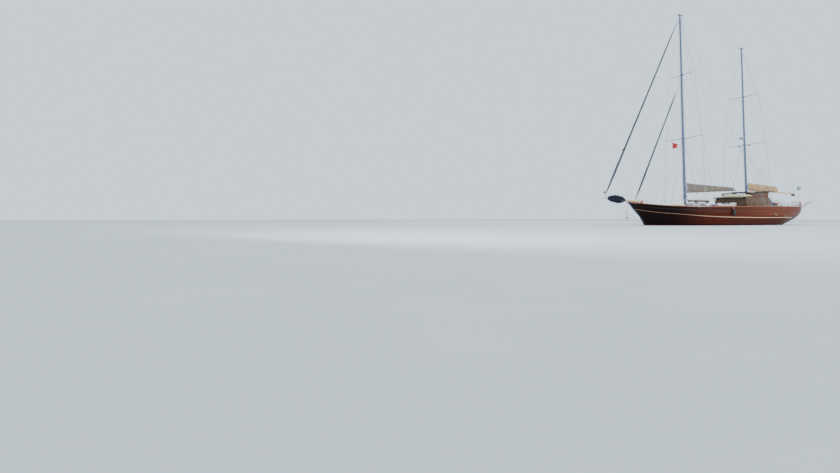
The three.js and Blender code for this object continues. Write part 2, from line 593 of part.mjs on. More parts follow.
// Arched roofs: rows along x of crown and edge heights, half width
function archedRoof(rows, thick) {
  return loft(rows.map(([x, crown, edge, half]) => {
    const top = [];
    for (let k = 0; k <= 8; k += 1) {
      const t = -1 + k / 4;
      top.push(V(x, t * half, edge + (crown - edge) * (1 - t * t)));
    }
    return [...top, ...top.map((p) => V(p.x, p.y, p.z - thick)).reverse()];
  }));
}
const mizzenHole = box(MIZZEN.x - 150, MIZZEN.x + 150, -150, 150, 1500, 5000);
const FRONT_ROWS = [[-1650, 3100, 3021, 2000], [-2800, 3400, 3140, 2000]];
const CHEEK = { aft: -2780, middle: 1820, half: 25 };
const frontRoofMiddle = (x, y) => {
  const [bow, aft] = FRONT_ROWS;
  const t = (bow[0] - x) / (bow[0] - aft[0]);
  const crown = bow[1] + (aft[1] - bow[1]) * t;
  const edge = bow[2] + (aft[2] - bow[2]) * t;
  return edge + (crown - edge) * (1 - (y / bow[3]) ** 2) - ROOF_THICK / 2;
};
const wallFoot = HOUSE.top + GAP;
const wallInner = HOUSE.front - HOUSE.wall;
const gable = prism('yz', [
  [-HOUSE.half, wallFoot], [HOUSE.half, wallFoot],
  ...[HOUSE.half, 1500, 1000, 500, 0, -500, -1000, -1500, -HOUSE.half].map((y) => [y, frontRoofMiddle(-1930, y)]),
], wallInner, HOUSE.front);
const cheekTop = (x) => frontRoofMiddle(x, CHEEK.middle);
const cheeks = [-1, 1].map((side) => prism('xz', [
  [CHEEK.aft, wallFoot], [wallInner + 10, wallFoot], [wallInner + 10, cheekTop(wallInner)], [CHEEK.aft, cheekTop(CHEEK.aft)],
], side * CHEEK.middle - CHEEK.half, side * CHEEK.middle + CHEEK.half));
addPiece('roof_front', joined([archedRoof(FRONT_ROWS, ROOF_THICK), gable, ...cheeks]), 'canvas');

// The upper roof with a screen hanging from it on each side, down to the walls.
// Rows along x: crown, edge, half width, foot of the screens (0 for a bead under the roof)
const BEAD = 12;
const ROOF_ROWS = [
  [-2860, 3620, 3440, 1960, wallFoot],
  [-3300, 3660, 3560, 2010, wallFoot],
  [-4300, 3700, 3650, 2020, wallFoot],
  [HOUSE.back, 3710, 3670, 2008, wallFoot],
  [HOUSE.back - 90, 3710, 3671, 2007, 0],
  [-5900, 3710, 3680, 2000, 0],
];
const screenedRoof = loft(ROOF_ROWS.map(([x, crown, edge, half, foot]) => {
  const at = (y) => edge + (crown - edge) * (1 - (y / half) ** 2);
  const under = (y) => at(y) - ROOF_THICK;
  const top = [0, 500, 1000, 1500].map((y) => V(x, y, at(y)));
  const outer = HOUSE.half - 5;
  const screenIn = HOUSE.half - HOUSE.wall;
  const low = foot || under(outer) - BEAD;
  const right = [
    ...top, V(x, half, edge), V(x, half, edge - ROOF_THICK), V(x, outer, under(outer)), V(x, outer, low),
    V(x, screenIn, low), V(x, screenIn, under(screenIn)), V(x, 1200, under(1200)), V(x, 600, under(600)), V(x, 0, under(0)),
  ];
  const left = right.slice(1, -1).reverse().map((p) => V(p.x, -p.y, p.z));
  return [...right, ...left];
}));
addPiece('roof_aft', mirrored(screenedRoof.subtract(mizzenHole)), 'varnish');
const CURTAIN = { low: 2080, high: HOUSE.top - 10, thick: 24 };
const curtainBand = box(HOUSE.back + 20, HOUSE.front + CURTAIN.thick, -HOUSE.half - CURTAIN.thick,
  HOUSE.half + CURTAIN.thick, CURTAIN.low, CURTAIN.high).subtract(
  box(HOUSE.back - 20, HOUSE.front + GAP, -HOUSE.half - GAP, HOUSE.half + GAP, 0, FAR));
addPiece('curtains', curtainBand, 'curtain');

// Cockpit: helm, wheel, seat
const HELM = { aft: -8950, fore: -8550, half: 280, height: 1050, shaft: 900, wheel: -9070 };
const helmDeck = deckTop(-8900);
const shaftZ = helmDeck + HELM.shaft;
addPiece('helm_console', onDeck(joined([
  box(HELM.aft, HELM.fore, -HELM.half, HELM.half, helmDeck - 100, helmDeck + HELM.height),
  rod(V(HELM.aft + 10, 0, shaftZ), V(HELM.wheel + GAP, 0, shaftZ), 60, 12),
])), 'varnish');
const wheelCentre = V(HELM.wheel, 0, shaftZ);
const WHEEL = { inner: 390, outer: 430, near: 10, far: 50, spoke: 520 };
const wheelRim = turned(wheelCentre, V(HELM.wheel - 130, 0, shaftZ), [
  [WHEEL.inner, WHEEL.near], [WHEEL.outer, WHEEL.near], [WHEEL.outer, WHEEL.far], [WHEEL.inner, WHEEL.far],
  [WHEEL.inner, WHEEL.near],
], 20);
const wheelHub = rod(wheelCentre, V(HELM.wheel - 60, 0, shaftZ), 70, 12);
const spokeX = HELM.wheel - (WHEEL.near + WHEEL.far) / 2;
const spokes = [0, 1, 2, 3, 4, 5, 6, 7].map((k) => rod(
  V(spokeX, 0, 0), V(spokeX, 0, WHEEL.spoke), 14, 6).rotate([k * 45, 0, 0]).translate([0, 0, shaftZ]));
addPiece('steering_wheel', joined([wheelRim, wheelHub, ...spokes]), 'varnish');

const SEAT = { x: -9900, height: 430, cushion: 140 };
const seatTop = deckTop(SEAT.x) + SEAT.height;
const benchPlan = [[-9900, -1750], [-9900, 1750], [-10700, 1350], [-11400, 850], [-11650, 450], [-11650, -450],
  [-11400, -850], [-10700, -1350]];
const bench = onDeck(prism('xy', benchPlan.slice().reverse(), 1000, seatTop));
addPiece('aft_bench', bench, 'varnish');
addPiece('aft_cushion', prism('xy', benchPlan.map(([x, y]) => [x * 0.997 - 30, y * 0.97]).reverse(),
  seatTop + GAP, seatTop + SEAT.cushion), 'cushion');

// Stern balustrades on the cap rail, open at the middle for the passerelle
const BALUSTRADE_TOP = 2500;
function sternRail() {
  const xs = [-7500, -8500, -9500, -10300, -11000, -11600, -12020];
  const outline = xs.map((x) => V(x, railY(x) - 45, BALUSTRADE_TOP));
  const rows = outline.map((p, i) => {
    const next = outline[Math.min(i + 1, outline.length - 1)];
    const before = outline[Math.max(i - 1, 0)];
    const away = V(next.y - before.y, -(next.x - before.x), 0).normalize().multiplyScalar(38);
    return [
      p.clone().add(away), p.clone().sub(away), p.clone().sub(away).setZ(BALUSTRADE_TOP + 45),
      p.clone().add(away).setZ(BALUSTRADE_TOP + 45),
    ];
  });
  const posts = [];
  for (let i = 0; i + 1 < outline.length; i += 1) {
    const count = Math.max(1, Math.round(outline[i].distanceTo(outline[i + 1]) / 230));
    for (let k = 0; k < count; k += 1) {
      const p = outline[i].clone().lerp(outline[i + 1], (k + 0.5) / count);
      posts.push(box(p.x - 22, p.x + 22, p.y - 22, p.y + 22, capSeat(p.x - 22, p.x + 22), BALUSTRADE_TOP + 10));
    }
  }
  return joined([loft(rows), ...posts]);
}
const balustrade = sternRail();
addPiece('stern_balustrade_port', balustrade, 'white');
addPiece('stern_balustrade_starboard', mirrored(balustrade), 'white');

// Stern pole with its dome
const POLE = { x: -12190, y: 460, radius: 32 };
addPiece('stern_pole', joined([
  rod(V(POLE.x, POLE.y, capSeat(POLE.x - POLE.radius, POLE.x + POLE.radius)), V(POLE.x, POLE.y, 4060), POLE.radius, 8),
  turned(V(POLE.x, POLE.y, 3990), V(POLE.x, POLE.y, 5000), [[0, 0], [190, 0], [230, 90], [210, 300], [110, 400], [0, 420]], 14),
]), 'white');

// Passerelle hinged at the stern
const RAMP = { x: -12420, z: 1720, length: 2850, slope: 21, y: -130, half: 290 };
const ramp = joined([
  box(-RAMP.length, -120, RAMP.y - RAMP.half, RAMP.y + RAMP.half, -35, 35),
  box(-130, 0, RAMP.y - 230, RAMP.y + 230, -35, 35),
  rod(V(0, RAMP.y - 255 + GAP, 0), V(0, RAMP.y + 255 - GAP, 0), 45, 10),
]).rotate([0, RAMP.slope, 0]).translate([RAMP.x, 0, RAMP.z]);
addPiece('passerelle', ramp, 'lightwood');
const rampEars = [-1, 1].map((side) => box(
  RAMP.x - 60, -12200, RAMP.y + side * 275 - 20, RAMP.y + side * 275 + 20, RAMP.z - 70, RAMP.z + 70));
const rampPlate = box(-12360, -12200, RAMP.y - 300, RAMP.y + 300, RAMP.z - 70, RAMP.z + 70);
addPiece('passerelle_bracket', joined([...rampEars, rampPlate]).subtract(fullHull.translate([-GAP, 0, 0])), 'steel');

// Foredeck: windlass, hatch, rails
const WINDLASS = { x: 9850, drum: 330, radius: 105 };
const windlassZ = deckTop(WINDLASS.x);
const drumZ = windlassZ + WINDLASS.drum;
addPiece('windlass', onDeck(joined([
  box(WINDLASS.x - 170, WINDLASS.x + 170, -160, 160, windlassZ - 100, windlassZ + 260),
  rod(V(WINDLASS.x, -330, drumZ), V(WINDLASS.x, 330, drumZ), WINDLASS.radius, 12),
  box(WINDLASS.x - 70, WINDLASS.x + 70, -140, 140, windlassZ + 200, windlassZ + 460),
])), 'steel');
const HATCH = { x: 8200, half: 350, wall: 70, overhang: 30, height: 260, lid: 55 };
const hatchSquare = (half, low, high) => box(HATCH.x - half, HATCH.x + half, -half, half, low, high);
const coamingTop = deckTop(HATCH.x) + HATCH.height;
const coaming = onDeck(hatchSquare(HATCH.half, 1000, coamingTop)
  .subtract(hatchSquare(HATCH.half - HATCH.wall, 900, coamingTop + 100)));
addPiece('hatch_coaming', coaming, 'varnish');
addPiece('hatch_lid', hatchSquare(HATCH.half + HATCH.overhang, coamingTop + GAP, coamingTop + HATCH.lid), 'varnish');

const RAIL_POSTS = [11200, 10200, 9200, 8200, 7200, 6200];
const RAIL = { height: 620, drop: 300, radius: 15, wire: 10 };
const foreRail = [];
const railPoints = RAIL_POSTS.map((x) => V(x, railY(x) - 40, capTop(x) + RAIL.height));
foreRail.push(pipe(railPoints, RAIL.radius));
foreRail.push(pipe(railPoints.map((p) => p.clone().setZ(p.z - RAIL.drop)), RAIL.wire));
for (const p of railPoints) foreRail.push(rod(V(p.x, p.y, capSeat(p.x - 16, p.x + 16)), V(p.x, p.y, p.z + 10), 16, 6));
foreRail.push(pipe([railPoints[0], V(13300, 330, 3090), V(15020, 170, 3200), V(15020, GAP, 3200)], 17));
foreRail.push(rod(V(14750, 195, 3180), V(14750, 60, bowspritAt(14750) + 62), 14, 6));
const portRail = joined(foreRail);
addPiece('bow_rail_port', portRail, 'white');
addPiece('bow_rail_starboard', mirrored(portRail), 'white');

// Anchor under the bow, on its chain from a roller arm on the rail
const ANCHOR = { x: 12400, y: 118, foot: 700, head: 1610 };
const armSeat = capSeat(11800, 12080);
addPiece('anchor', joined([
  box(11850, 12460, 92, 150, armSeat, armSeat + 45),
  rod(V(ANCHOR.x, ANCHOR.y, ANCHOR.foot), V(ANCHOR.x, ANCHOR.y, ANCHOR.head), 28, 8),
  ...[-1, 1].map((side) => rod(
    V(ANCHOR.x + side * 240, ANCHOR.y, ANCHOR.foot + 130), V(ANCHOR.x, ANCHOR.y, ANCHOR.foot), 34, 8)),
  rod(V(ANCHOR.x, ANCHOR.y, ANCHOR.head - 20), V(ANCHOR.x, ANCHOR.y, armSeat + 30), 14, 6),
]), 'iron');

// Fender, flag and its halyard, radar
const FENDER = { x: 1500, radius: 130, low: 950 };
const fenderY = railY(FENDER.x) + STRAKE_PROUD + FENDER.radius;
addPiece('fender', joined([
  turned(V(FENDER.x, fenderY, FENDER.low), V(FENDER.x, fenderY, FAR), [
    [0, 0], [70, 20], [FENDER.radius, 110], [FENDER.radius, 640], [70, 740], [0, 770],
  ], 12),
  rod(V(FENDER.x, fenderY, FENDER.low + 720), V(FENDER.x, railY(FENDER.x) + CAP_OUTSIDE + 12, railZ(FENDER.x) + 40), 12, 6),
]), 'black');
const FLAG = { hoist: 4810, fly: 4100, y: -1300, low: 8200, high: 8900 };
const halyardFoot = V(8150, -(railY(8150) - 40), capTop(8150) + 1);
addPiece('signal_flag', joined([
  pipe([
    V(4625, FLAG.y, 9143), V(FLAG.hoist, FLAG.y, 8960), V(FLAG.hoist, FLAG.y, 8150),
    halyardFoot.clone().add(V(0, 0, 60)), halyardFoot,
  ], 6),
  box(FLAG.fly, FLAG.hoist + 2, FLAG.y - 6, FLAG.y + 6, FLAG.low, FLAG.high),
]), 'red');
const radarR = mastRadius(MIZZEN, 9550, MAST_FEET.mizzen);
addPiece('radar', joined([
  box(MIZZEN.x + radarR + 0.5, MIZZEN.x + radarR + 260, -50, 50, 9480, 9540),
  rod(V(MIZZEN.x + radarR + 330, 0, 9530), V(MIZZEN.x + radarR + 330, 0, 9760), 260, 16),
]), 'white');

export default group;
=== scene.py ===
import math

import bmesh
import bpy
import numpy as np
from mathutils import Matrix, Vector


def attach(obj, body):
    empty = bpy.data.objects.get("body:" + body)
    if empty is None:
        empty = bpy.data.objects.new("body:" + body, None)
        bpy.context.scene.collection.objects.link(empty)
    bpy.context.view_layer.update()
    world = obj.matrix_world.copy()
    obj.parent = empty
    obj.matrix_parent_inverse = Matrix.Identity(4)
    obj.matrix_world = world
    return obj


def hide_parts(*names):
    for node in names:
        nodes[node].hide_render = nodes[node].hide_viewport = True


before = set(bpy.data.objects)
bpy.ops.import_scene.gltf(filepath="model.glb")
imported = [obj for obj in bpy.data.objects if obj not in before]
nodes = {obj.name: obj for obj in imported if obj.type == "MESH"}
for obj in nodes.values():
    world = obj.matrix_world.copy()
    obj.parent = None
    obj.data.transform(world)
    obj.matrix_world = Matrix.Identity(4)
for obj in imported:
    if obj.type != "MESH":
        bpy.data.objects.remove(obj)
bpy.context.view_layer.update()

link = bpy.context.scene.collection.objects.link
SIDES = (1, -1)
UP = (0, 0, 1)

# The camera stands low over the water, off the port bow.
camera_data = bpy.data.cameras.new("camera")
camera = bpy.data.objects.new("camera", camera_data)
link(camera)
tilt = math.radians(3.34)
look = Vector((-0.3518 * math.cos(tilt), -0.9361 * math.cos(tilt), math.sin(tilt)))
camera.location = (50.92, 43.78, 0.85)
camera.rotation_mode = "QUATERNION"
camera.rotation_quaternion = look.to_track_quat("-Z", "Y")
camera_data.sensor_width = 36.0
camera_data.lens = 23.28
camera_data.shift_y = -0.0608
camera_data.clip_end = 400.0
bpy.context.scene.camera = camera


# Forms
def xyz(x, y, z):
    """Points from three rows of numbers; a single number serves for a whole row."""
    return np.stack(np.broadcast_arrays(x, y, z), -1)


def bar(rows):
    """A surface between lines of points, each given as x, y and z."""
    return np.stack([xyz(*row) for row in rows], 1)


def board(form, x, outer, inner, low, high):
    """On both sides a board along x, between two distances out and two heights."""
    corners = (outer, high), (outer, low), (inner, low), (inner, high)
    for side in SIDES:
        form.grid(bar([(x, side * y, z) for y, z in corners]))


def circle(sides):
    """Points evenly round the unit circle."""
    turn = (np.arange(sides) + 0.5) * 2 * np.pi / sides
    return np.column_stack([np.cos(turn), np.sin(turn)])


def outline(a, b, corner, steps=4):
    """A rectangle of half sides a and b with quarter-circle corners."""
    corner = min(corner, a * 0.999, b * 0.999)
    turn = np.linspace(0, np.pi / 2, steps + 1)
    rows = []
    for k, (sx, sy) in enumerate([(1, 1), (-1, 1), (-1, -1), (1, -1)]):
        t = turn + k * np.pi / 2
        rows.append(np.column_stack([sx * (a - corner) + corner * np.cos(t),
                                     sy * (b - corner) + corner * np.sin(t)]))
    return np.concatenate(rows)


def swept(path, section, scale=1.0, axis=None, up=None):
    """The section carried along the path, square to it: each row is path + side * x + up * y."""
    path, section = np.asarray(path, float), np.asarray(section, float)
    along = np.gradient(path, axis=0) if axis is None else np.tile(axis, (len(path), 1))
    length = np.linalg.norm(along, axis=1, keepdims=True)
    along = along / np.where(length == 0, 1, length)
    if up is None:
        up = UP if np.abs(along[:, 2]).mean() < 0.8 else (1, 0, 0)
    side = np.cross(along, up)
    side /= np.linalg.norm(side, axis=1, keepdims=True)
    top = np.cross(side, along)
    scale = np.broadcast_to(np.asarray(scale, float), (len(path),))[:, None, None]
    return path[:, None] + scale * (section[None, :, :1] * side[:, None]
                                    + section[None, :, 1:] * top[:, None])


def line(a, b, count=3):
    """Points evenly from a to b."""
    return np.linspace(np.asarray(a, float), np.asarray(b, float), count)


def mm(text):
    """Rows of two numbers, written in millimetres, as metres."""
    return np.array(text.split(), float).reshape(-1, 2) / 1000


def unit(vector):
    return np.asarray(vector, float) / np.linalg.norm(vector)


def smooth(x, xs, ys):
    """Cubic interpolation in a rising table; slopes are the neighbours' weighted differences."""
    xs, ys = np.asarray(xs, float), np.asarray(ys, float)
    h = np.diff(xs)
    d = np.diff(ys) / h
    slope = np.empty(len(xs))
    slope[1:-1] = (d[:-1] * h[1:] + d[1:] * h[:-1]) / (h[1:] + h[:-1])
    slope[0], slope[-1] = d[0], d[-1]
    x = np.clip(x, xs[0], xs[-1])
    k = np.clip(np.searchsorted(xs, x) - 1, 0, len(h) - 1)
    t = (x - xs[k]) / h[k]
    return (ys[k] * (1 + 2 * t) * (1 - t) ** 2 + ys[k + 1] * t * t * (3 - 2 * t)
            + h[k] * (slope[k] * t * (1 - t) ** 2 - slope[k + 1] * t * t * (1 - t)))


def curve(points, count=40):
    """A smooth path through the points, by cubic pieces whose slopes come from the neighbours."""
    points = np.asarray(points, float)
    steps = np.linalg.norm(np.diff(points, axis=0), axis=1)
    knots = np.concatenate([[0], np.cumsum(steps)])
    t = np.linspace(0, knots[-1], count)
    return np.column_stack([smooth(t, knots, points[:, k]) for k in range(points.shape[1])])


class Form:
    """Points, faces and surface coordinates of one piece, gathered from several surfaces."""

    def __init__(self):
        self.points, self.faces, self.uv, self.count = [], [], [], 0

    def grid(self, points, ring=True, loop=False, uv=None):
        """Rows of points joined to the next row by four-sided faces. ring closes each row on
        itself and, without loop, both ends; loop joins the last row to the first."""
        points = np.asarray(points, float)
        n, m, _ = points.shape
        i = np.arange(n if loop else n - 1)[:, None]
        j = np.arange(m if ring else m - 1)[None, :]
        a, b = i * m + j, i * m + (j + 1) % m
        c, d = ((i + 1) % n) * m + (j + 1) % m, ((i + 1) % n) * m + j
        quads = np.stack([a, b, c, d], -1).reshape(-1, 4) + self.count
        if uv is None:
            steps = (np.linspace(0, 1, size) for size in (n, m))
            uv = np.stack(np.meshgrid(*steps, indexing="ij"), -1)
        self.points.append(points.reshape(-1, 3))
        self.uv.append(np.asarray(uv, float).reshape(-1, 2))
        self.faces += quads.tolist()
        if ring and not loop:
            self.faces.append((self.count + np.arange(m))[::-1].tolist())
            self.faces.append((self.count + (n - 1) * m + np.arange(m)).tolist())
        self.count += n * m
        return self

    def tube(self, path, radius, sides=8):
        """A circle of the given radius, one number or one for each point, carried along a path."""
        return self.grid(swept(path, circle(sides), radius))

    def rod(self, a, b, radius, sides=8, count=3):
        """A straight tube from a to b."""
        return self.tube(line(a, b, count), radius, sides)

    def turned(self, foot, axis, profile, sides=24):
        """Radius and height, in rows or in millimetre text, turned about the axis at the foot."""
        profile = mm(profile) if isinstance(profile, str) else np.asarray(profile, float)
        axis = unit(axis)
        path = np.asarray(foot, float) + profile[:, 1:] * axis
        return self.grid(swept(path, circle(sides), np.maximum(profile[:, 0], 1e-4), axis=axis))

    def slab(self, low, high, edge=0.01, steps=3):
        """A box whose upright corners are round and whose rims are drawn in on a quarter circle."""
        low, high = np.asarray(low, float), np.asarray(high, float)
        corner = edge * 1.5
        centre, half = (low + high) / 2, (high - low) / 2
        edge = min(edge, half.min() * 0.98)
        turn = np.linspace(0, np.pi / 2, steps + 1)
        rise, inset = edge * (1 - np.cos(turn)), edge * (1 - np.sin(turn))
        lift = np.concatenate([-half[2] + rise, half[2] - rise[::-1]])
        draw = np.concatenate([inset, inset[::-1]])
        rows = [outline(half[0] - d, half[1] - d, max(corner - d, 1e-4)) for d in draw]
        return self.grid(np.stack([xyz(*r.T, z) for r, z in zip(rows, lift)]) + centre)

    def slabs(self, edge, *boxes, steps=3):
        """Several slabs with the same rim, each six numbers: its low and its high corner."""
        for box in boxes:
            self.slab(box[:3], box[3:], edge, steps)
        return self

    def mirror(self):
        """Adds the same surfaces reflected to the other side of the centreline."""
        base, faces, offset = np.concatenate(self.points), list(self.faces), self.count
        self.points.append(base * [1, -1, 1])
        self.uv.append(np.concatenate(self.uv))
        self.faces += [[k + offset for k in face[::-1]] for face in faces]
        self.count += len(base)
        return self

    def turn(self, matrix):
        """Moves everything gathered so far by a matrix."""
        m = np.array(matrix)
        self.points = [p @ m[:3, :3].T + m[:3, 3] for p in self.points]
        return self

    def made(self, name, paint, slot=None, stands_for="", body="boat", crease=38, closed=True):
        """The finished object, riding on its body and standing for its CAD nodes."""
        mesh = bpy.data.meshes.new(name)
        mesh.from_pydata(np.concatenate(self.points).tolist(), [], self.faces)
        layer = mesh.uv_layers.new(name="along")
        corners = np.empty(len(mesh.loops), np.int32)
        mesh.loops.foreach_get("vertex_index", corners)
        layer.data.foreach_set("uv", np.concatenate(self.uv)[corners].ravel())
        mesh.validate()
        if closed:
            work = bmesh.new()
            work.from_mesh(mesh)
            bmesh.ops.recalc_face_normals(work, faces=work.faces)
            work.to_mesh(mesh)
            work.free()
        mesh.shade_smooth()
        mesh.set_sharp_from_angle(angle=math.radians(crease))
        mesh.materials.append(paint)
        piece = bpy.data.objects.new(name, mesh)
        link(piece)
        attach(piece, body)
        if stands_for:
            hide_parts(*stands_for.split())
        return piece

    def cloth(self, name, paint, slot=None, stands_for="", body="boat", crease=60,
              thick=0.003, offset=0.0):
        """The same for an open sheet, which gets the thickness of its cloth."""
        piece = self.made(name, paint, slot, stands_for, body, crease, closed=False)
        modifier = piece.modifiers.new("thickness", "SOLIDIFY")
        modifier.thickness, modifier.offset = thick, offset
        return piece


def runs(points, axis):
    """Lengths of a grid's lines along one axis."""
    return np.linalg.norm(np.diff(points, axis=axis), axis=2).sum(axis)


def cloth_size(points):
    """Width of each row, the steps from row to row and the area, all along the cloth."""
    girth = runs(points, 1)
    step = np.linalg.norm(np.diff(points, axis=0), axis=2).mean(1)
    return girth, step, float(((girth[1:] + girth[:-1]) / 2 * step).sum())


# Finishes
def tone(text):
    """A screen colour, written as six hex digits, as linear light."""
    screen = np.array([int(text[k:k + 2], 16) for k in (0, 2, 4)]) / 255
    light = np.where(screen <= 0.04045, screen / 12.92, ((screen + 0.055) / 1.055) ** 2.4)
    return tuple(light.tolist())


class Value:
    """A socket of a node; arithmetic on it adds Math nodes to the same finish."""

    def __init__(self, finish, socket):
        self.finish, self.socket = finish, socket

    def _math(self, operation, *terms):
        return self.finish.node("Math", {"operation": operation}, dict(enumerate(terms)))

    def __add__(self, other): return self._math("ADD", self, other)
    def __radd__(self, other): return self._math("ADD", other, self)
    def __sub__(self, other): return self._math("SUBTRACT", self, other)
    def __rsub__(self, other): return self._math("SUBTRACT", other, self)
    def __mul__(self, other): return self._math("MULTIPLY", self, other)
    def __rmul__(self, other): return self._math("MULTIPLY", other, self)
    def __truediv__(self, other): return self._math("DIVIDE", self, other)
    def sine(self): return self._math("SINE", self)
    def fraction(self): return self._math("FRACT", self)
    def size(self): return self._math("ABSOLUTE", self)
    def floor(self): return self._math("FLOOR", self)

    def ramp(self, low, high):
        """0 below low, 1 above high, smooth between."""
        return self.finish.node("MapRange", {"interpolation_type": "SMOOTHSTEP"},
                                {"Value": self, "From Min": low, "From Max": high})

    def seam(self, inner, outer):
        """1 along the joints between bands that are one unit wide, 0 inside the bands."""
        return (self.fraction() - 0.5).size().ramp(inner, outer)

    def own(self):
        """A random shade for each band."""
        return self.finish.node("TexWhiteNoise", {"noise_dimensions": "1D"}, {"W": self.floor()})


class Finish:
    """One material. Its nodes come from one method; constants go on the shader's own sockets.
    A colour is six hex digits, three linear numbers or a Value."""

    def __init__(self, name, **constants):
        self.material = bpy.data.materials.new(name)
        self.material.use_nodes = True
        self.tree = self.material.node_tree
        self.tree.nodes.clear()
        output = self.tree.nodes.new("ShaderNodeOutputMaterial")
        self.shader = self.tree.nodes.new("ShaderNodeBsdfPrincipled")
        self.tree.links.new(self.shader.outputs[0], output.inputs["Surface"])
        for key, value in constants.items():
            self.shader.inputs[key.replace("_", " ")].default_value = value
        coordinates = self.tree.nodes.new("ShaderNodeTexCoord")
        self.place = Value(self, coordinates.outputs["Object"])
        self.along = Value(self, coordinates.outputs["UV"])

    def node(self, kind, settings, inputs, output=0):
        """Adds one node: its settings first, then the values or links of its sockets."""
        made = self.tree.nodes.new("ShaderNode" + kind)
        for key, value in settings.items():
            setattr(made, key, value)
        for key, value in inputs.items():
            socket = made.inputs[key]
            if isinstance(value, Value):
                self.tree.links.new(value.socket, socket)
            elif socket.type == "RGBA":
                socket.default_value = (*(tone(value) if isinstance(value, str) else value), 1)
            else:
                socket.default_value = value
        return Value(self, made.outputs[output])

    def axes(self, vector=None):
        """The three numbers of a vector."""
        parts = self.node("SeparateXYZ", {}, {0: vector or self.place}).socket.node
        return [Value(self, socket) for socket in parts.outputs]

    def noise(self, scale, detail=3.0, rough=0.55, stretch=None):
        vector = self.place
        if stretch:
            vector = self.node("Mapping", {}, {"Vector": vector, "Scale": stretch})
        return self.node("TexNoise", {}, {"Vector": vector, "Scale": scale, "Detail": detail,
                                          "Roughness": rough})

    def mix(self, factor, a, b):
        """Colour a where the factor is 0, colour b where it is 1."""
        return self.node("Mix", {"data_type": "RGBA"}, {0: factor, 6: a, 7: b}, output=2)

    def feed(self, name, value):
        self.tree.links.new(value.socket, self.shader.inputs[name])

    def bump(self, height, distance):
        self.feed("Normal", self.node("Bump", {}, {"Height": height, "Distance": distance,
                                                   "Strength": 1.0}))


def varnish(name, light, dark, along=(1, 8, 8), plank=None, roughness=0.22, coat=0.6, dusk=None):
    """Varnished wood: grain is noise drawn out along the timber, and planks, where there are any,
    are bands of the given width across one axis, each a shade of its own, with a fine seam. The
    sides aft of dusk are nearly black."""
    f = Finish(name, Coat_Weight=coat, Coat_Roughness=0.08)
    grain = f.noise(6.0, 6.0, 0.6, stretch=along)
    streak = f.noise(34.0, 4.0, 0.7, stretch=along)
    shade = grain * 0.65 + streak * 0.35
    if plank:
        axis, width = plank
        band = f.axes()[axis] / width
        shade = shade * 0.7 + band.own() * 0.3
        seam = band.seam(0.46, 0.495)
    colour = f.mix(shade.ramp(0.3, 0.72), dark, light)
    if plank:
        colour = f.mix(seam, colour, tuple(0.35 * c for c in tone(dark)))
        f.bump(streak * 0.12 - seam, 0.002)
    else:
        f.bump(streak, 0.0006)
    if dusk:
        x, y, _ = f.axes()
        aft = (1.0 - x.ramp(*dusk)) * y.size().ramp(1.70, 1.74)
        colour = f.mix(aft * 0.78, colour, "211a22")
    f.feed("Base Color", colour)
    f.feed("Roughness", grain * 0.12 + roughness - 0.06)
    return f.material


def hull_varnish():
    """Reddish varnished planks that follow the sheer, with painted shade making them nearly black
    towards the bow and darker low amidships and under the counter, and painted light making the
    upper strakes aft lighter; dark red bottom paint under a thin dark boot line."""
    f = Finish("hull_varnish", Coat_Roughness=0.15, Specular_IOR_Level=0.08)
    x, y, z = f.axes()
    girth = f.axes(f.along)[1] * 22.0
    grain = f.noise(3.0, 6.0, 0.62, stretch=(0.35, 1, 7))
    streak = f.noise(18.0, 4.0, 0.7, stretch=(0.25, 1, 6))
    shade = grain * 0.62 + streak * 0.22 + girth.own() * 0.16
    seam = girth.seam(0.455, 0.495)
    # painted shade: low darkens the hull low amidships and quarter darkens it under the counter;
    # painted light: top lightens the upper strakes aft
    low = (1.0 - z.ramp(0.5, 1.5)) * (1.0 - x.ramp(2.0, 8.5)) * x.ramp(-11.0, -3.0)
    top = z.ramp(0.95, 1.1) * (1.0 - x.ramp(-6.0, 4.0))
    quarter = (1.0 - x.ramp(-12.3, -8.5)) * (1.0 - z.ramp(0.5, 1.9) * 0.55)
    stem = (1.0 - y.size().ramp(0.09, 0.115)) * x.ramp(9.9, 10.2)
    wood = f.mix(shade.ramp(0.28, 0.72), "30100a", "5e2612")
    # the low, quarter and forward shares are painted shade, the forward one nearly black towards
    # the bow; the top share is painted light
    for share, colour in ((low * 0.4, "34130a"), (top * 0.45, "8a4a34"), (quarter * 0.8, "1b0f0b"),
                          (x.ramp(3.5, 8.5) * 0.93, "0a0506"), (seam * 0.5, "1c0a06"),
                          (stem * 0.85, "3c4552"), (1.0 - z.ramp(0.115, 0.13), "241310")):
        wood = f.mix(share, wood, colour)
    under = 1.0 - z.ramp(0.03, 0.045)
    bottom = f.mix(f.noise(2.5, 5.0, 0.7).ramp(0.3, 0.7), "5b2118", "7a3324")
    f.feed("Base Color", f.mix(under, wood, bottom))
    f.feed("Roughness", under * 0.35 + grain * 0.12 + 0.26)
    f.feed("Coat Weight", 0.03 - under * 0.03)
    f.bump(streak * 0.08 - seam, 0.003)
    return f.material


def painted(name, colour, roughness=0.35, metallic=0.0, wear=0.12, coat=0.3):
    """Paint or polish with faint cloudy wear, slightly uneven to the touch."""
    f = Finish(name, Metallic=metallic, Coat_Weight=coat)
    cloud = f.noise(2.2, 5.0, 0.6)
    speck = f.noise(45.0, 3.0, 0.6)
    worn = tuple(min(1.0, c * (1 - wear) + 0.02) for c in tone(colour))
    f.feed("Base Color", f.mix((cloud * 0.7 + speck * 0.3).ramp(0.35, 0.75), colour, worn))
    f.feed("Roughness", cloud * 0.2 + roughness - 0.1)
    f.bump(speck, 0.0004)
    return f.material


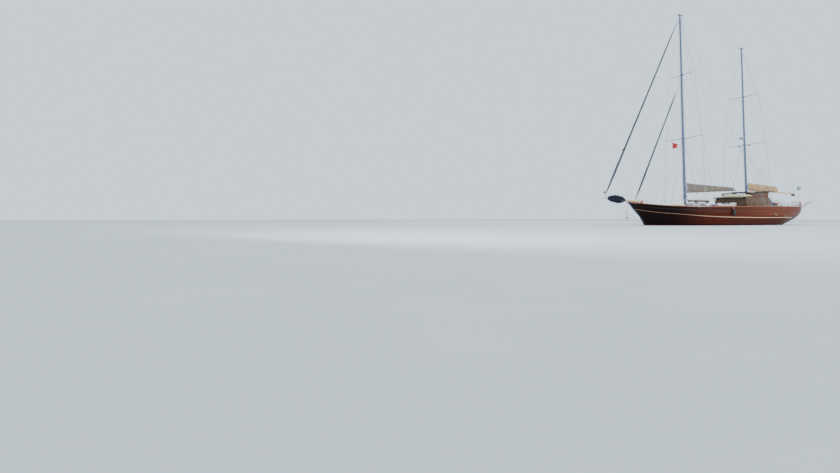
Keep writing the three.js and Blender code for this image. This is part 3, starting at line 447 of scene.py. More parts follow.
def canvas(name, colour, shade, crease=0.006, sheen=0.25, roughness=0.85):
    """Woven cloth: fine crossed threads, broad soft creases and sun-faded clouds of colour."""
    f = Finish(name, Sheen_Weight=sheen, Roughness=roughness)
    x, y, z = f.axes()
    pitch = 260.0
    warp = ((x + y) * pitch).sine() * (z * pitch).sine()
    folds = f.noise(7.0, 3.0, 0.5)
    faded = f.noise(1.4, 4.0, 0.6) * 0.6 + folds * 0.4
    f.feed("Base Color", f.mix(faded.ramp(0.3, 0.7), shade, colour))
    f.bump(folds + warp * 0.03, crease)
    return f.material


def rope_finish(name, colour):
    """Laid rope: strands wind round it, read from the length along the piece; the grooves between
    strands are darkened as painted shade.
    """
    f = Finish(name, Roughness=0.8)
    u, v, _ = f.axes(f.along)
    lay = ((u * 60.0 + v) * 6.2832 * 3.0).sine()
    # painted shade: the colour darkens where the bump puts the grooves between strands
    f.feed("Base Color", f.mix(lay.ramp(-0.6, 0.6), tuple(0.6 * c for c in tone(colour)), colour))
    f.bump(lay, 0.002)
    return f.material


def deck_finish():
    """Scrubbed teak: narrow planks fore and aft with dark caulking, each its own shade."""
    f = Finish("teak_deck", Roughness=0.7)
    band = f.axes()[1] / 0.062
    grain = f.noise(8.0, 5.0, 0.6, stretch=(0.6, 8, 8))
    seam = band.seam(0.44, 0.47)
    wood = f.mix((grain * 0.6 + band.own() * 0.4).ramp(0.25, 0.75), "9a7a54", "c7a878")
    f.feed("Base Color", f.mix(seam, wood, "1d1a18"))
    f.bump(grain * 0.15 - seam, 0.002)
    return f.material


def cream_stripe():
    """Cream paint with faint cloudy wear, darkened to brown towards the bow by painted shade."""
    f = Finish("cream_stripe", Roughness=0.45)
    aft = f.mix(f.noise(2.2, 5.0, 0.6).ramp(0.35, 0.75), "d9b088", "c69c77")
    # painted shade: the stripe darkens to brown towards the bow, as the hull does
    f.feed("Base Color", f.mix(f.axes()[0].ramp(0.0, 8.0) * 0.75, aft, "5a3f30"))
    f.bump(f.noise(45.0, 3.0, 0.6), 0.0004)
    return f.material


def tinted_glass():
    """Tinted pane: dark and glossy with a faint ripple."""
    f = Finish("window_glass", Roughness=0.05, Coat_Weight=0.5)
    ripple = f.noise(2.0, 2.0, 0.5)
    f.feed("Base Color", f.mix(ripple, "1a2226", "2c383d"))
    f.bump(ripple, 0.001)
    return f.material


hull_wood = hull_varnish()
rail_wood = varnish("rail_varnish", "a25a30", "6e3419")
trim_wood = varnish("trim_varnish", "9a5a2e", "5e2d15")
screen_wood = varnish("screen_varnish", "7a421b", "43220e", plank=(2, 0.11), roughness=0.4,
                      coat=0.1)
panel_wood = varnish("panel_varnish", "a86a38", "6f3a1b", along=(1, 1, 7), plank=(0, 0.42),
                     dusk=(-5.36, -5.30))
roof_wood = varnish("roof_varnish", "7f431b", "4e2510", plank=(1, 0.12))
bright_wood = varnish("bright_pine", "ecc791", "cf9f62", roughness=0.25)
ramp_wood = varnish("ramp_boards", "e6cfc4", "cbb0a4", along=(1, 6, 6), roughness=0.4)
furniture_wood = varnish("furniture_teak", "b77c47", "7c4824", along=(8, 1, 8))
teak = deck_finish()
# the spars' dark blue-grey is partly their paint and partly painted shade for their shaded side
spar_paint = painted("spar_paint", "54678a", 0.42, 0.1)
white_paint = painted("white_paint", "ece9e6")
# the balusters' dark pinkish brown is partly their paint and partly painted shade from between and
# behind them
pink_paint_and_shade = painted("baluster_paint_and_shade", "8f5f50", 0.4)
cream_paint = cream_stripe()
# dark trim, which also serves as painted shade on the front gable, along the aft roof's edges and
# in the gap between the roofs
dark_trim_and_shade = painted("dark_trim_and_shade", "2b1f1a", 0.55, coat=0.03)
steel = painted("stainless_steel", "c9cdd1", 0.22, 1.0, 0.2, 0.0)
wire = painted("wire_rope", "8f979f", 0.35, 0.9, 0.3, 0.0)
bronze = painted("cast_bronze", "b08a4d", 0.3, 1.0, 0.35, 0.0)
black_rubber = painted("black_rubber", "202225", 0.7, 0.0, 0.1, 0.0)
antifoul = painted("bottom_paint", "5b2118", 0.7, 0.0, 0.25, 0.0)
galvanised = painted("galvanised_iron", "5d6165", 0.55, 0.8, 0.35, 0.0)
dome_grey = painted("dome_plastic", "8fa39a", 0.4)
# the radar's grey is painted shade: the colour of its shaded side
radar_grey = painted("radar_plastic", "8c98a8", 0.4)
glass = tinted_glass()
main_cover_cloth = canvas("main_cover_cloth", "82776c", "665c53", sheen=0.05)
mizzen_cover_cloth = canvas("mizzen_cover_cloth", "c2a17a", "9c7f5e", sheen=0.05)
furled_cloth = canvas("furled_sun_strip", "4d555d", "343a41", crease=0.004)
navy_cloth = canvas("navy_canvas", "070d2c", "04071a", crease=0.012, sheen=0.0, roughness=1.0)
curtain_cloth = canvas("curtain_cloth", "705a48", "544132", crease=0.004, sheen=0.05)
yellow_canvas = canvas("yellow_canvas", "e6df9a", "cdc27c", crease=0.003)
green_binding = canvas("green_binding", "1c3326", "101f17", crease=0.002)
cushion_cloth = canvas("cushion_cloth", "f0e3ca", "dccbab", crease=0.003)
pale_cover = canvas("pale_cover", "eadcd9", "cfbfbd", crease=0.008)
purple_cloth = canvas("purple_cloth", "9a8bb5", "7b6c98")
white_cloth = canvas("white_cloth", "f2efee", "dcd7dc")
red_cloth = canvas("red_bunting", "c4262a", "9c181d")
tender_wood = varnish("tender_varnish", "4a2415", "26110a", along=(1, 6, 8))
rope = rope_finish("white_rope", "e4dfd2")
dark_rope = rope_finish("dark_rope", "3c3a3c")

# Hull form; columns: x, rail height, half beam, bottom height (metres), bilge fullness, vee
STATIONS = np.array([
    [12.00, 2.320, 0.075, 2.180, 1.00, 1.00], [11.50, 2.235, 0.430, 1.770, 1.00, 1.00],
    [11.00, 2.170, 0.750, 1.300, 0.95, 1.00], [10.64, 2.135, 0.950, 0.960, 0.95, 1.00],
    [10.27, 2.100, 1.140, 0.450, 0.92, 1.00], [10.00, 2.075, 1.270, 0.000, 0.92, 1.00],
    [9.60, 2.040, 1.460, -0.450, 0.98, 1.00], [9.00, 1.995, 1.710, -0.800, 1.12, 0.97],
    [8.00, 1.935, 2.060, -1.080, 1.45, 0.88], [6.50, 1.885, 2.470, -1.260, 1.95, 0.74],
    [4.50, 1.865, 2.820, -1.360, 2.50, 0.62], [2.00, 1.885, 3.020, -1.400, 3.00, 0.53],
    [-1.00, 1.925, 3.050, -1.380, 3.20, 0.50], [-4.00, 1.955, 2.990, -1.240, 3.10, 0.50],
    [-6.50, 1.965, 2.850, -0.960, 2.60, 0.60], [-8.50, 1.965, 2.600, -0.300, 2.00, 0.75],
    [-9.50, 1.965, 2.370, 0.000, 1.90, 0.75], [-10.30, 1.965, 1.960, 0.320, 2.10, 0.70],
    [-11.00, 1.970, 1.460, 0.600, 2.30, 0.60], [-11.60, 1.980, 1.020, 0.840, 2.20, 0.52],
    [-12.00, 1.990, 0.700, 1.020, 2.00, 0.50], [-12.30, 2.000, 0.350, 1.300, 1.60, 0.50],
])[::-1]
STEM_HALF = 0.06
BULWARK_DROP = 0.5094
CAP_LIFT = 0.0603
PLANK = 0.08
WELL_AFT, WELL_FORE = -12.175, 11.245  # the deck lies between these, within the bulwark


def station(x):
    """Rail, beam, bottom, bilge and vee at each x, smooth through the table."""
    return [smooth(np.asarray(x, float), STATIONS[:, 0], STATIONS[:, k]) for k in range(1, 6)]


def half_breadth(x, z):
    """y = stem half + (beam - stem half) (1 - (1 - s)^bilge)^vee; s: height from bottom to rail."""
    rail, beam, bottom, bilge, vee = station(x)
    s = np.clip((z - bottom) / (rail - bottom), 0, 1)
    return STEM_HALF + (beam - STEM_HALF) * (1 - (1 - s) ** bilge) ** vee


def rail_z(x): return station(x)[0]
def rail_y(x): return station(x)[1]
def deck_z(x): return rail_z(x) - BULWARK_DROP
def cap_z(x): return rail_z(x) + CAP_LIFT


def spread(x):
    """How much longer a step square to the side is than the same step straight across."""
    slope = (rail_y(x + 0.15) - rail_y(x - 0.15)) / 0.3
    return np.sqrt(1 + slope ** 2)


def stations_from(fore, aft, count, *extra):
    """Even places along the hull, with a few extra ones where it steps, from aft forward."""
    return np.unique(np.concatenate([np.linspace(fore, aft, count), extra]))[::-1]


def hull_planking():
    """One closed skin: keel centre, up the side by the formula above, over the bulwark's top,
    down its inner face to the deck, to the centre, and the same on the other side."""
    x = stations_from(12.0, -12.3, 118, 11.25, 11.24, -12.18, -12.17)
    rail, beam, bottom, _, _ = station(x)
    v = np.linspace(0, 1, 27)[None, :]
    z = bottom[:, None] + (rail - bottom)[:, None] * v ** 1.4
    y = half_breadth(x[:, None] + 0 * z, z)
    inside = np.clip(beam - PLANK * spread(x), 0.02, None)
    deep = (x < WELL_FORE) & (x > WELL_AFT)
    floor = np.where(deep, rail - 0.552, rail - 0.004)
    wall = np.clip(half_breadth(x, floor) - PLANK * spread(x), 0.015, None)
    wall = np.where(deep, wall, inside)
    columns = [(x, 0, bottom), *((x, y[:, k], z[:, k]) for k in range(y.shape[1]))]
    half = bar(columns + [(x, inside, rail), (x, wall, floor), (x, 0, floor)])
    other = half[:, 1:-1][:, ::-1] * [1, -1, 1]
    girth = np.concatenate([[0], np.linspace(0, 1, 27), [1, 1, 1]])
    girth = np.concatenate([girth, girth[1:-1][::-1]])
    uv = np.stack(np.broadcast_arrays(x[:, None], girth[None]), -1)
    Form().grid(np.concatenate([half, other], 1), uv=uv).made(
        "hull_planking", hull_wood, "varnished_hull", "hull bulwark")


def backbone():
    """Stem, keel and deadwood: a profile between the hull's bottom and the keel line, rounded."""
    profile = [(12.06, 0, 2.23), (11.56, 0, 1.73), (11.08, 0, 1.25), (10.72, 0, 0.92),
               (10.35, 0, 0.42), (10.09, 0, -0.02), (9.76, 0, -0.52), (9.25, 0, -1.15),
               (8.50, 0, -1.80), (7.50, 0, -2.20), (6.30, 0, -2.35)]
    under = curve(profile, 90)
    under = np.concatenate([under, line(under[-1], (-7.30, 0, -2.35), 30)[1:]])
    x, _, low = under.T
    hull_low = station(np.clip(x, -12, 12))[2]
    hold = np.where(x > 9.0, low + 0.30 + 0.25 * (12.06 - x), np.minimum(hull_low + 0.35, 0.8))
    half = np.interp(x, [9.5, 11.5], [0.13, 0.10])
    rows = [(x, half * n, low + 0.05 * abs(n) ** 3) for n in np.linspace(-1, 1, 9)]
    rows += [(x - 0.001, half * 0.98 * side, hold) for side in SIDES]
    form = Form().grid(bar(rows))
    form.turned((-6.9, 0, -1.45), (-1, 0, 0), "0 0  120 0  130 350  110 680  85 700  0 700")
    form.turned((-8.32, 0, -0.64), UP, "0 0  95 0  95 640  0 640")
    form.made("keel_and_stem", hull_wood, "varnished_hull")


def cap_rail():
    """The cap: a rounded plank laid on the rail, as wide as the CAD one, solid at both ends."""
    x = stations_from(12.08, -12.35, 150, 11.4, 11.399, -12.149, -12.15)
    outer = rail_y(x) + 0.05 * spread(x)
    inner = np.clip(rail_y(x) - 0.13 * spread(x), 0.02, None)
    inner = np.where((x < 11.4) & (x > -12.15), inner, 0.0)
    base = rail_z(x) + 0.0003
    section = [(0.02, 0), (0.97, 0), (1, 0.012), (1, 0.048), (0.97, 0.06), (0.03, 0.06),
               (0, 0.048), (0, 0.012)]
    form = Form().grid(bar([(x, inner + (outer - inner) * a, base + b) for a, b in section]))
    form.mirror().made("cap_rail_plank", rail_wood, "varnished_trim", "cap_rail")


def moulding(name, table, height, proud, *look):
    """A half-round strip along the side: z from a table of x and height, bowed out by proud."""
    table = np.array(table)[::-1]
    x = np.linspace(table[-1, 0], table[0, 0], 140)
    height = height * np.interp(x, [4.0, 10.5], [1.06, 0.62])
    z = smooth(x, table[:, 0], table[:, 1])
    turns = [(math.sin(t), proud * math.cos(t)) for t in np.linspace(-np.pi / 2, np.pi / 2, 7)]
    levels = [(z + height / 2 * rise, out) for rise, out in turns + [(1, -0.03), (-1, -0.03)]]
    form = Form().grid(bar([(x, half_breadth(x, level) + out, level) for level, out in levels]))
    form.mirror().made(name, *look)


hull_planking()
backbone()
cap_rail()
moulding("rub_strake", [(11.3, 1.63), (10.1, 1.42), (7.0, 1.12), (5.2, 0.98), (3.2, 0.89),
                        (-1.3, 0.815), (-8.4, 0.815)],
         0.085, 0.045, cream_paint, "cream_paint", "rub_strake_port rub_strake_starboard")
moulding("sheer_strip", [(11.6, 2.02), (10.0, 1.80), (8.0, 1.66), (6.0, 1.58), (3.0, 1.54),
                         (-2.0, 1.54), (-9.0, 1.55), (-11.2, 1.60)], 0.05, 0.022, dark_trim_and_shade)

# Masts and rigging
MAIN = {"x": 4.62, "foot": 2.0003, "head": 22.5, "low": 0.145, "high": 0.085}
MIZZEN = {"x": -4.34, "foot": 1.4469, "head": 19.85, "low": 0.130, "high": 0.075}
MASTS = {"main": MAIN, "mizzen": MIZZEN}


def mast_radius(mast, z):
    share = (z - mast["foot"]) / (mast["head"] - mast["foot"])
    return mast["low"] + (mast["high"] - mast["low"]) * share


def collar(form, foot, way, r, out=0.006, sides=24, sunk=0.002):
    """A flat band round a spar of radius r."""
    low, high = r - sunk, r + out
    form.turned(foot, way, [(low, 0), (high, 0.004), (high, 0.056), (low, 0.06)], sides)


def mast_piece(name, aerial, after, before, winches):
    """A tapered round spar with a track up its after side, two bands, winches near the foot, and
    at its head a crane with sheaves, a light and an aerial."""
    mast = MASTS[name]
    x, head = mast["x"], mast["head"]
    levels = np.linspace(mast["foot"] + 0.002, head, 40)
    form = Form().turned((x, 0, 0), UP, np.column_stack([mast_radius(mast, levels), levels]), 32)
    z = np.linspace(mast["foot"] + 2.3, head - 0.3, 30)
    form.tube(xyz(x - mast_radius(mast, z) - 0.004, 0, z), 0.016, 6)
    for z in (mast["foot"] + 0.10, mast["foot"] + 1.2):
        collar(form, (x, 0, z), UP, mast_radius(mast, z), 0.012, 32, 0)
    for side, z in winches:
        form.turned((x, side * (mast_radius(mast, z) - 0.01), z), (0, side, 0),
            "0 0  55 0  55 30  62 40  45 60  40 100  52 130  52 140  0 145", 20)
    form.slab((x - after, -0.06, head - 0.01), (x + before, 0.06, head + 0.08), 0.012)
    for reach in (0.05 - after, before - 0.05):
        form.turned((x + reach, -0.02, head - 0.01), (0, 1, 0),
            "0 0  50 0  40 20  50 40  0 40", 16)
    form.turned((x, 0, head + 0.08), UP,
        "0 0  45 0  45 20  38 30  38 100  45 110  20 130  0 130", 16)
    form.rod((x - 0.11, 0, head + 0.07), (x - 0.11, 0, head + aerial),
             np.linspace(0.009, 0.004, 6), 6, 6)
    if name == "main":
        wind_gauge(form, x + 0.45, head)
    form.made(f"{name}_mast_spar", spar_paint, "spar_paint", f"{name}_mast")


def wind_gauge(form, x, head):
    """An arm that reaches forward from the masthead and carries three small cups."""
    form.rod((x - 0.37, 0, head + 0.08), (x, 0, head + 0.16), 0.006, 6, 4)
    for turn in (0, 2.094, 4.188):
        form.slab((x - 0.02, -0.012, head + 0.16), (x + 0.02, 0.012, head + 0.2), 0.008)
        cup = np.array((x + 0.06 * math.cos(turn), 0.06 * math.sin(turn), head + 0.19))
        form.rod((x, 0, head + 0.19), cup, 0.003, 5, 2)
        form.turned(cup - [0, 0, 0.012], UP, "0 0  14 4  16 12  12 22  0 24", 8)


mast_piece("main", 0.9, 0.45, 0.30, [(1, 3.05), (-1, 3.05), (1, 2.75), (-1, 2.75)])
mast_piece("mizzen", 0.5, 0.28, 0.22, [(1, 2.35), (-1, 2.35)])

SPREADERS = [("main", "lower", 9.15, 2.36), ("main", "upper", 15.98, 1.70),
             ("mizzen", "lower", 8.88, 2.56), ("mizzen", "upper", 14.31, 1.82)]
for owner, level, z, half in SPREADERS:
    mast = MASTS[owner]
    x = mast["x"]
    bore = mast_radius(mast, z - 0.07) + 0.001
    turn = np.linspace(0, 2 * np.pi, 33)
    path = curve(xyz(x + bore * np.cos(turn), bore * np.sin(turn), z), 33)[:-1]
    form = Form().grid(swept(path, mm("0 -70  30 -70  33 -60  33 60  30 70  0 70")), loop=True)
    arm = line((x, mast_radius(mast, z) + 0.02, z), (x, half - 0.021, z + 0.06), 16)
    for side in SIDES:
        taper = np.linspace(0.055, 0.030, 16)
        form.grid(swept(arm * [1, side, 1], circle(16) * [1.0, 0.62], taper))
    for side in SIDES:
        form.turned((x, side * (half - 0.045) - 0.02 * side, z + 0.06), (0, side, 0),
            "0 0  34 2  36 20  30 36  0 38", 12)
    form.made(f"{owner}_{level}_spreader_arms", spar_paint, "spar_paint",
              f"{owner}_{level}_spreaders")


def turnbuckle(form, low, high, at=0.45, length=0.34):
    """A bottle screw near the lower end of a wire: a fat barrel between two eyes."""
    low = np.asarray(low, float)
    way = unit(high - low)
    form.turned(low + way * at, way, [
        (0.012, 0), (0.024, 0.03), (0.026, 0.05), (0.026, length - 0.05),
        (0.024, length - 0.03), (0.012, length)], 10)


def stay(form, low, high, radius=0.011, at=0.45):
    """A wire with its bottle screw."""
    form.rod(low, high, radius)
    turnbuckle(form, low, high, at)


def standing_rigging(owner, head, forward=0.85, aft=0.70):
    """On each side a chain plate, the cap shroud over both spreaders, two lower shrouds that
    spread fore and aft, and an inner wire."""
    mast = MASTS[owner]
    x = mast["x"]
    low_tip, high_tip = [(half, z + 0.06) for name, _, z, half in SPREADERS if name == owner]
    y = min(rail_y(x + forward), rail_y(x - aft)) - 0.03
    ends = x - aft - 0.09, x + forward + 0.09
    seat = max(cap_z(ends[0]), cap_z(ends[1])) + 0.0006
    form = Form().slab((ends[0], y - 0.03, seat), (ends[1], y + 0.03, seat + 0.045), 0.01)
    stay(form, (x, y, seat + 0.04), (x, *low_tip))
    form.rod((x, *low_tip), (x, *high_tip), 0.011)
    form.rod((x, *high_tip), (x, 0.128, head), 0.011)
    lower = mast_radius(mast, low_tip[1]) + 0.022
    for dx in (forward, -aft):
        top = (x + math.copysign(0.04, dx), lower, low_tip[1] - 0.29)
        stay(form, (x + dx, y, seat + 0.04), top)
    for dx in (forward, -aft, 0.0, 0.18):
        form.slab((x + dx - 0.012, y - 0.02, seat + 0.03),
                  (x + dx + 0.012, y + 0.02, seat + 0.12), 0.006)
    bend = (x + 0.05, low_tip[0] - 0.02, low_tip[1] + 0.02)
    form.rod((x + 0.18, y, seat + 0.09), bend, 0.008, 6, 2)
    inner = (x + 0.03, mast_radius(mast, high_tip[1]) + 0.02, high_tip[1] - 0.3)
    form.rod(bend, inner, 0.008, 6, 2)
    form.mirror().made(f"{owner}_standing_rigging", wire, "wire",
                       f"{owner}_shrouds_port {owner}_shrouds_starboard")


standing_rigging("main", 21.9)
standing_rigging("mizzen", 19.3)
form = Form()
low = np.array((-3.25, rail_y(-3.25) - 0.04, cap_z(-3.25) + 0.05))
stay(form, low, (MAIN["x"] - 0.11, 0.06, 22.2), at=0.5)
form.slab(low + [-0.06, -0.035, -0.045], low + [0.06, 0.035, -0.005], 0.008)
form.slab(low + [-0.012, -0.02, -0.02], low + [0.012, 0.02, 0.08], 0.006)
form.mirror().made("running_backstays", wire, "wire", "main_backstay_port main_backstay_starboard")

form = Form()
foot = np.array((9.35, 0, deck_z(9.35) + 0.005))
stay(form, foot, (MAIN["x"] + 0.165, 0, 9.1), 0.010, at=0.25)
form.slab(foot + [-0.09, -0.05, -0.002], foot + [0.09, 0.05, 0.012], 0.006)
form.slab(foot + [-0.02, -0.012, 0.0], foot + [0.02, 0.012, 0.1], 0.006)
form.made("baby_stay_wire", wire, "wire", "baby_stay")

# Bowsprit
SPRIT_FOOT, SPRIT_TIP = np.array((10.3, 0, 2.33)), np.array((15.05, 0, 2.79))
SPRIT_WAY = unit(SPRIT_TIP - SPRIT_FOOT)


def sprit_share(x): return (x - SPRIT_FOOT[0]) / (SPRIT_TIP[0] - SPRIT_FOOT[0])
def sprit_z(x): return SPRIT_FOOT[2] + (SPRIT_TIP[2] - SPRIT_FOOT[2]) * sprit_share(x)
def sprit_r(x): return 0.105 - 0.027 * sprit_share(x)


xs = np.linspace(SPRIT_FOOT[0], SPRIT_TIP[0], 30)
form = Form().tube(xyz(xs, 0, sprit_z(xs)), sprit_r(xs), 24)
form.slab((11.88, -0.065, cap_z(12.0) + 0.002), (12.06, 0.065, sprit_z(11.97)))
form.made("bowsprit_spar", bright_wood, "bright_wood", "bowsprit")
form = Form()
for x, rim in ((14.90, 0.100), (12.02, sprit_r(12.02) + 0.006), (10.55, sprit_r(10.55) + 0.006)):
    r = sprit_r(x) - 0.004
    form.turned((x, 0, sprit_z(x)), SPRIT_WAY, [(r, 0), (rim, 0.008), (rim, 0.07), (r, 0.078)], 28)
form.slab((14.915, -0.014, sprit_z(14.95) + 0.05), (14.985, 0.014, sprit_z(14.95) + 0.148), 0.006)
for side in SIDES:
    form.rod((14.90, side * 0.09, sprit_z(14.9)), (11.5, side * (rail_y(11.5) + 0.06), 2.20), 0.010)
bob_low, bob_high = (10.42, 0, 0.36), (14.88, 0, sprit_z(14.88) - sprit_r(14.88) - 0.0146)
form.rod(bob_low, bob_high, 0.016, 10)
turnbuckle(form, bob_high, bob_low, 0.3, 0.4)
form.made("bowsprit_irons", steel, "steel", "bobstay")

form, z = Form(), sprit_z(10.4)
for y in (0.19, -0.19):
    form.slab((10.38, y - 0.06, deck_z(10.38) + 0.003), (10.52, y + 0.06, 2.50), 0.012)
    form.slab((10.37, y - 0.07, 2.50), (10.53, y + 0.07, 2.56), 0.02)
form.slab((10.40, -0.25, z - 0.225), (10.50, 0.25, z - 0.113), 0.015)
form.made("bitts", trim_wood, "varnished_trim", "bowsprit_bitts")


# Headsails
def around(middle, turn, scale, side, top):
    """Rings of points at the angles turn, scaled and laid square to the line of middles."""
    ring = np.cos(turn)[None, :, None] * side + np.sin(turn)[None, :, None] * top
    return middle[:, None] + scale[..., None] * ring


def furled(name, foot, head, rows, stands_for):
    """A sail rolled on its stay: its radius steps in along a spiral, where the leech winds."""
    foot, head, rows = (np.asarray(part, float) for part in (foot, head, rows))
    way = unit(head - foot)
    d = np.linspace(rows[0, 0], rows[-1, 0], 260)[:, None]
    turn = np.arange(20) * 2 * np.pi / 20
    spiral = np.mod(turn / (2 * np.pi) + d / 1.6, 1.0)
    wobble = 0.03 * np.sin(d * 2.3 + 2 * turn)
    scale = smooth(d, rows[:, 0], rows[:, 1]) * (0.90 + 0.12 * spiral + wobble)
    side = unit(np.cross(way, (0, 1.0, 0)))
    Form().grid(around(foot + d * way, turn, scale, side, np.cross(side, way))).made(
        name, furled_cloth, "dark_sailcloth", stands_for, crease=30)
    return foot, way, np.linalg.norm(head - foot)


foot, way, length = furled(
    "genoa_rolled", (14.95, 0, sprit_z(14.95) + 0.15), (MAIN["x"] + 0.11, 0, 22.25),
    [(0.50, 0.050), (0.9, 0.075), (1.4, 0.092), (6.5, 0.098), (13.0, 0.082), (20.1, 0.048),
     (21.4, 0.022)], "genoa_furled")
gear = Form().turned(foot, way,
    "0 0  45 0  45 260  108 285  110 300  62 325  60 430  108 445  110 465  50 490  30 520", 28)
gear.rod(foot, foot + way * (length - 0.11), 0.013)
gear.turned(foot + way * (length - 0.9), way, "14 0  35 10  40 60  40 160  14 190", 20)
foot, way, length = furled(
    "staysail_rolled", (11.22, 0, sprit_z(11.22) + sprit_r(11.22) + 0.0146),
    (MAIN["x"] + 0.125, 0, 15.4),
    [(0.39, 0.045), (0.7, 0.062), (1.1, 0.078), (5.0, 0.084), (9.0, 0.066), (12.6, 0.038),
     (12.95, 0.018)], "staysail_furled")
gear.turned(foot, way,
    "0 0  40 0  40 180  103 195  105 215  56 235  55 330  103 345  105 365  45 390  30 410", 28)
gear.rod(foot, foot + way * (length - 0.03), 0.014)
gear.made("furling_gear", steel, "steel")

clew = np.array((12.53, 0.0, 7.63))
knot_way = np.array((-0.35, 0.0, -0.94))
knot = "0 0  60 20  100 80  95 160  50 220  0 250"
Form().turned(clew - knot_way * 0.12, knot_way, knot, 14).made("genoa_clew_knot", dark_rope)
sheets = Form()
for side in SIDES:
    sheets.tube(curve([clew + [0.05, side * 0.06, 0], (9.5, side * 0.75, 5.4),
                       (6.9, side * 1.75, 3.5), (4.6, side * 2.45, 2.35)], 30), 0.009, 6)
sheets.made("genoa_sheets", rope)


def jib_bundle():
    """The sail lashed round the bowsprit: its radius comes from a table along the spar, is
    pinched at each lashing and gathered in lengthwise folds."""
    length, lashed = 2.15, (0.32, 0.72, 1.12, 1.5, 1.86)
    d = np.linspace(0, length, 150)[:, None]
    turn = np.arange(56) * 2 * np.pi / 56
    radius = smooth(d, (0, 0.25, 0.7, 1.3, 1.7, 2.0, length),
                    (0.13, 0.27, 0.385, 0.40, 0.31, 0.195, 0.135))
    pinch = sum(np.exp(-((d - at) / 0.05) ** 2) for at in lashed)
    folds = (0.5 * np.sin(5 * turn + 3.0 * np.sin(1.9 * d)) + 0.35 * np.sin(9 * turn - 4.1 * d)
             + 0.3 * np.sin(3 * turn + 7.0 * d + 1.3))
    end = np.clip(np.minimum(d, length - d) / 0.25, 0, 1)
    scale = radius * (0.93 - 0.15 * pinch + 0.07 * folds * end * (1 - 0.6 * np.minimum(pinch, 1)))
    middle = np.array((12.5, 0, sprit_z(12.5))) + d * SPRIT_WAY
    across = (0, 1.0, 0), np.cross(SPRIT_WAY, (0, 1.0, 0))
    outer = around(middle, turn, scale, *map(np.array, across))
    inner = around(middle, turn, sprit_r(12.5 + d) + 0.002, *map(np.array, across))
    piece = Form().grid(np.concatenate([outer, inner[::-1]]), loop=True).made(
        "jib_bundle_cloth", navy_cloth, "navy_cloth", "jib_bundle", crease=50)
    ties = Form()
    for at in lashed:
        k = int(at / length * 149)
        ring = outer[k] + (outer[k] - middle[k]) * 0.03
        ties.tube(np.concatenate([ring, ring[:2]]), 0.011, 6)
    ties.made("bundle_lashings", dark_rope)


jib_bundle()

# Booms and sail covers; a cover's columns: distance aft of the mast, foot, top, half width
BOOMS = {"main": {"start": 0.26, "end": 7.42, "z0": 3.50, "z1": 3.84},
         "mizzen": {"start": 0.25, "end": 7.80, "z0": 3.93, "z1": 3.566}}
COVERS = {
    "main": [(0.33, 3.378, 4.46, 0.13), (0.9, 3.40, 4.40, 0.23), (3.0, 3.505, 4.29, 0.215),
             (5.5, 3.636, 4.17, 0.17), (7.0, 3.708, 4.095, 0.135)],
    "mizzen": [(0.32, 3.795, 4.66, 0.13), (0.9, 3.766, 4.61, 0.20), (2.6, 3.69, 4.48, 0.185),
               (4.3, 3.61, 4.34, 0.155), (4.85, 3.59, 4.285, 0.135)]}


def boom_level(owner, d):
    """Height of the boom's middle at a distance aft of the mast."""
    start, end, z0, z1 = (BOOMS[owner][key] for key in ("start", "end", "z0", "z1"))
    return z0 + (z1 - z0) * (d - start) / (end - start)


def boom_radius(owner, d):
    boom = BOOMS[owner]
    return np.interp(d, [boom["start"], boom["end"]], [0.095, 0.070])


def boom_piece(owner, paint, lift_top, slot):
    """The boom: a round spar with end fittings, gooseneck, outhaul and reefing blocks, and the
    topping lift from its end to the mast."""
    mast, boom, body = MASTS[owner], BOOMS[owner], f"{owner}_boom"
    x0 = mast["x"]
    d = np.linspace(boom["start"], boom["end"], 30)
    spar = Form().tube(xyz(x0 - d, 0, boom_level(owner, d)), boom_radius(owner, d), 24)
    spar.made(f"{owner}_boom_spar", paint, slot, body, body)
    r = mast_radius(mast, boom["z0"] - 0.06)
    iron = Form().slab((x0 - boom["start"] - 0.04, -0.045, boom["z0"] - 0.06),
                       (x0 - r - 0.002, 0.045, boom["z0"] + 0.06), 0.012)
    way = (boom["start"] - boom["end"], 0, boom["z1"] - boom["z0"])
    for s in (0.30, 0.9, 3.6, boom["end"] - 0.14):
        collar(iron, (x0 - s, 0, boom_level(owner, s)), way, boom_radius(owner, s))
    for s in (1.9, 3.63, 4.6):
        under = boom_level(owner, s) - 0.095
        iron.slab((x0 - s - 0.03, -0.012, under - 0.045), (x0 - s + 0.03, 0.012, under + 0.02),
                  0.008)
    iron.rod((x0 - boom["end"] + 0.06, 0, boom_level(owner, boom["end"] - 0.06)),
             (x0 - mast_radius(mast, lift_top) - 0.04, 0, lift_top), 0.009)
    iron.made(f"{owner}_boom_irons", steel, "steel", body=body)


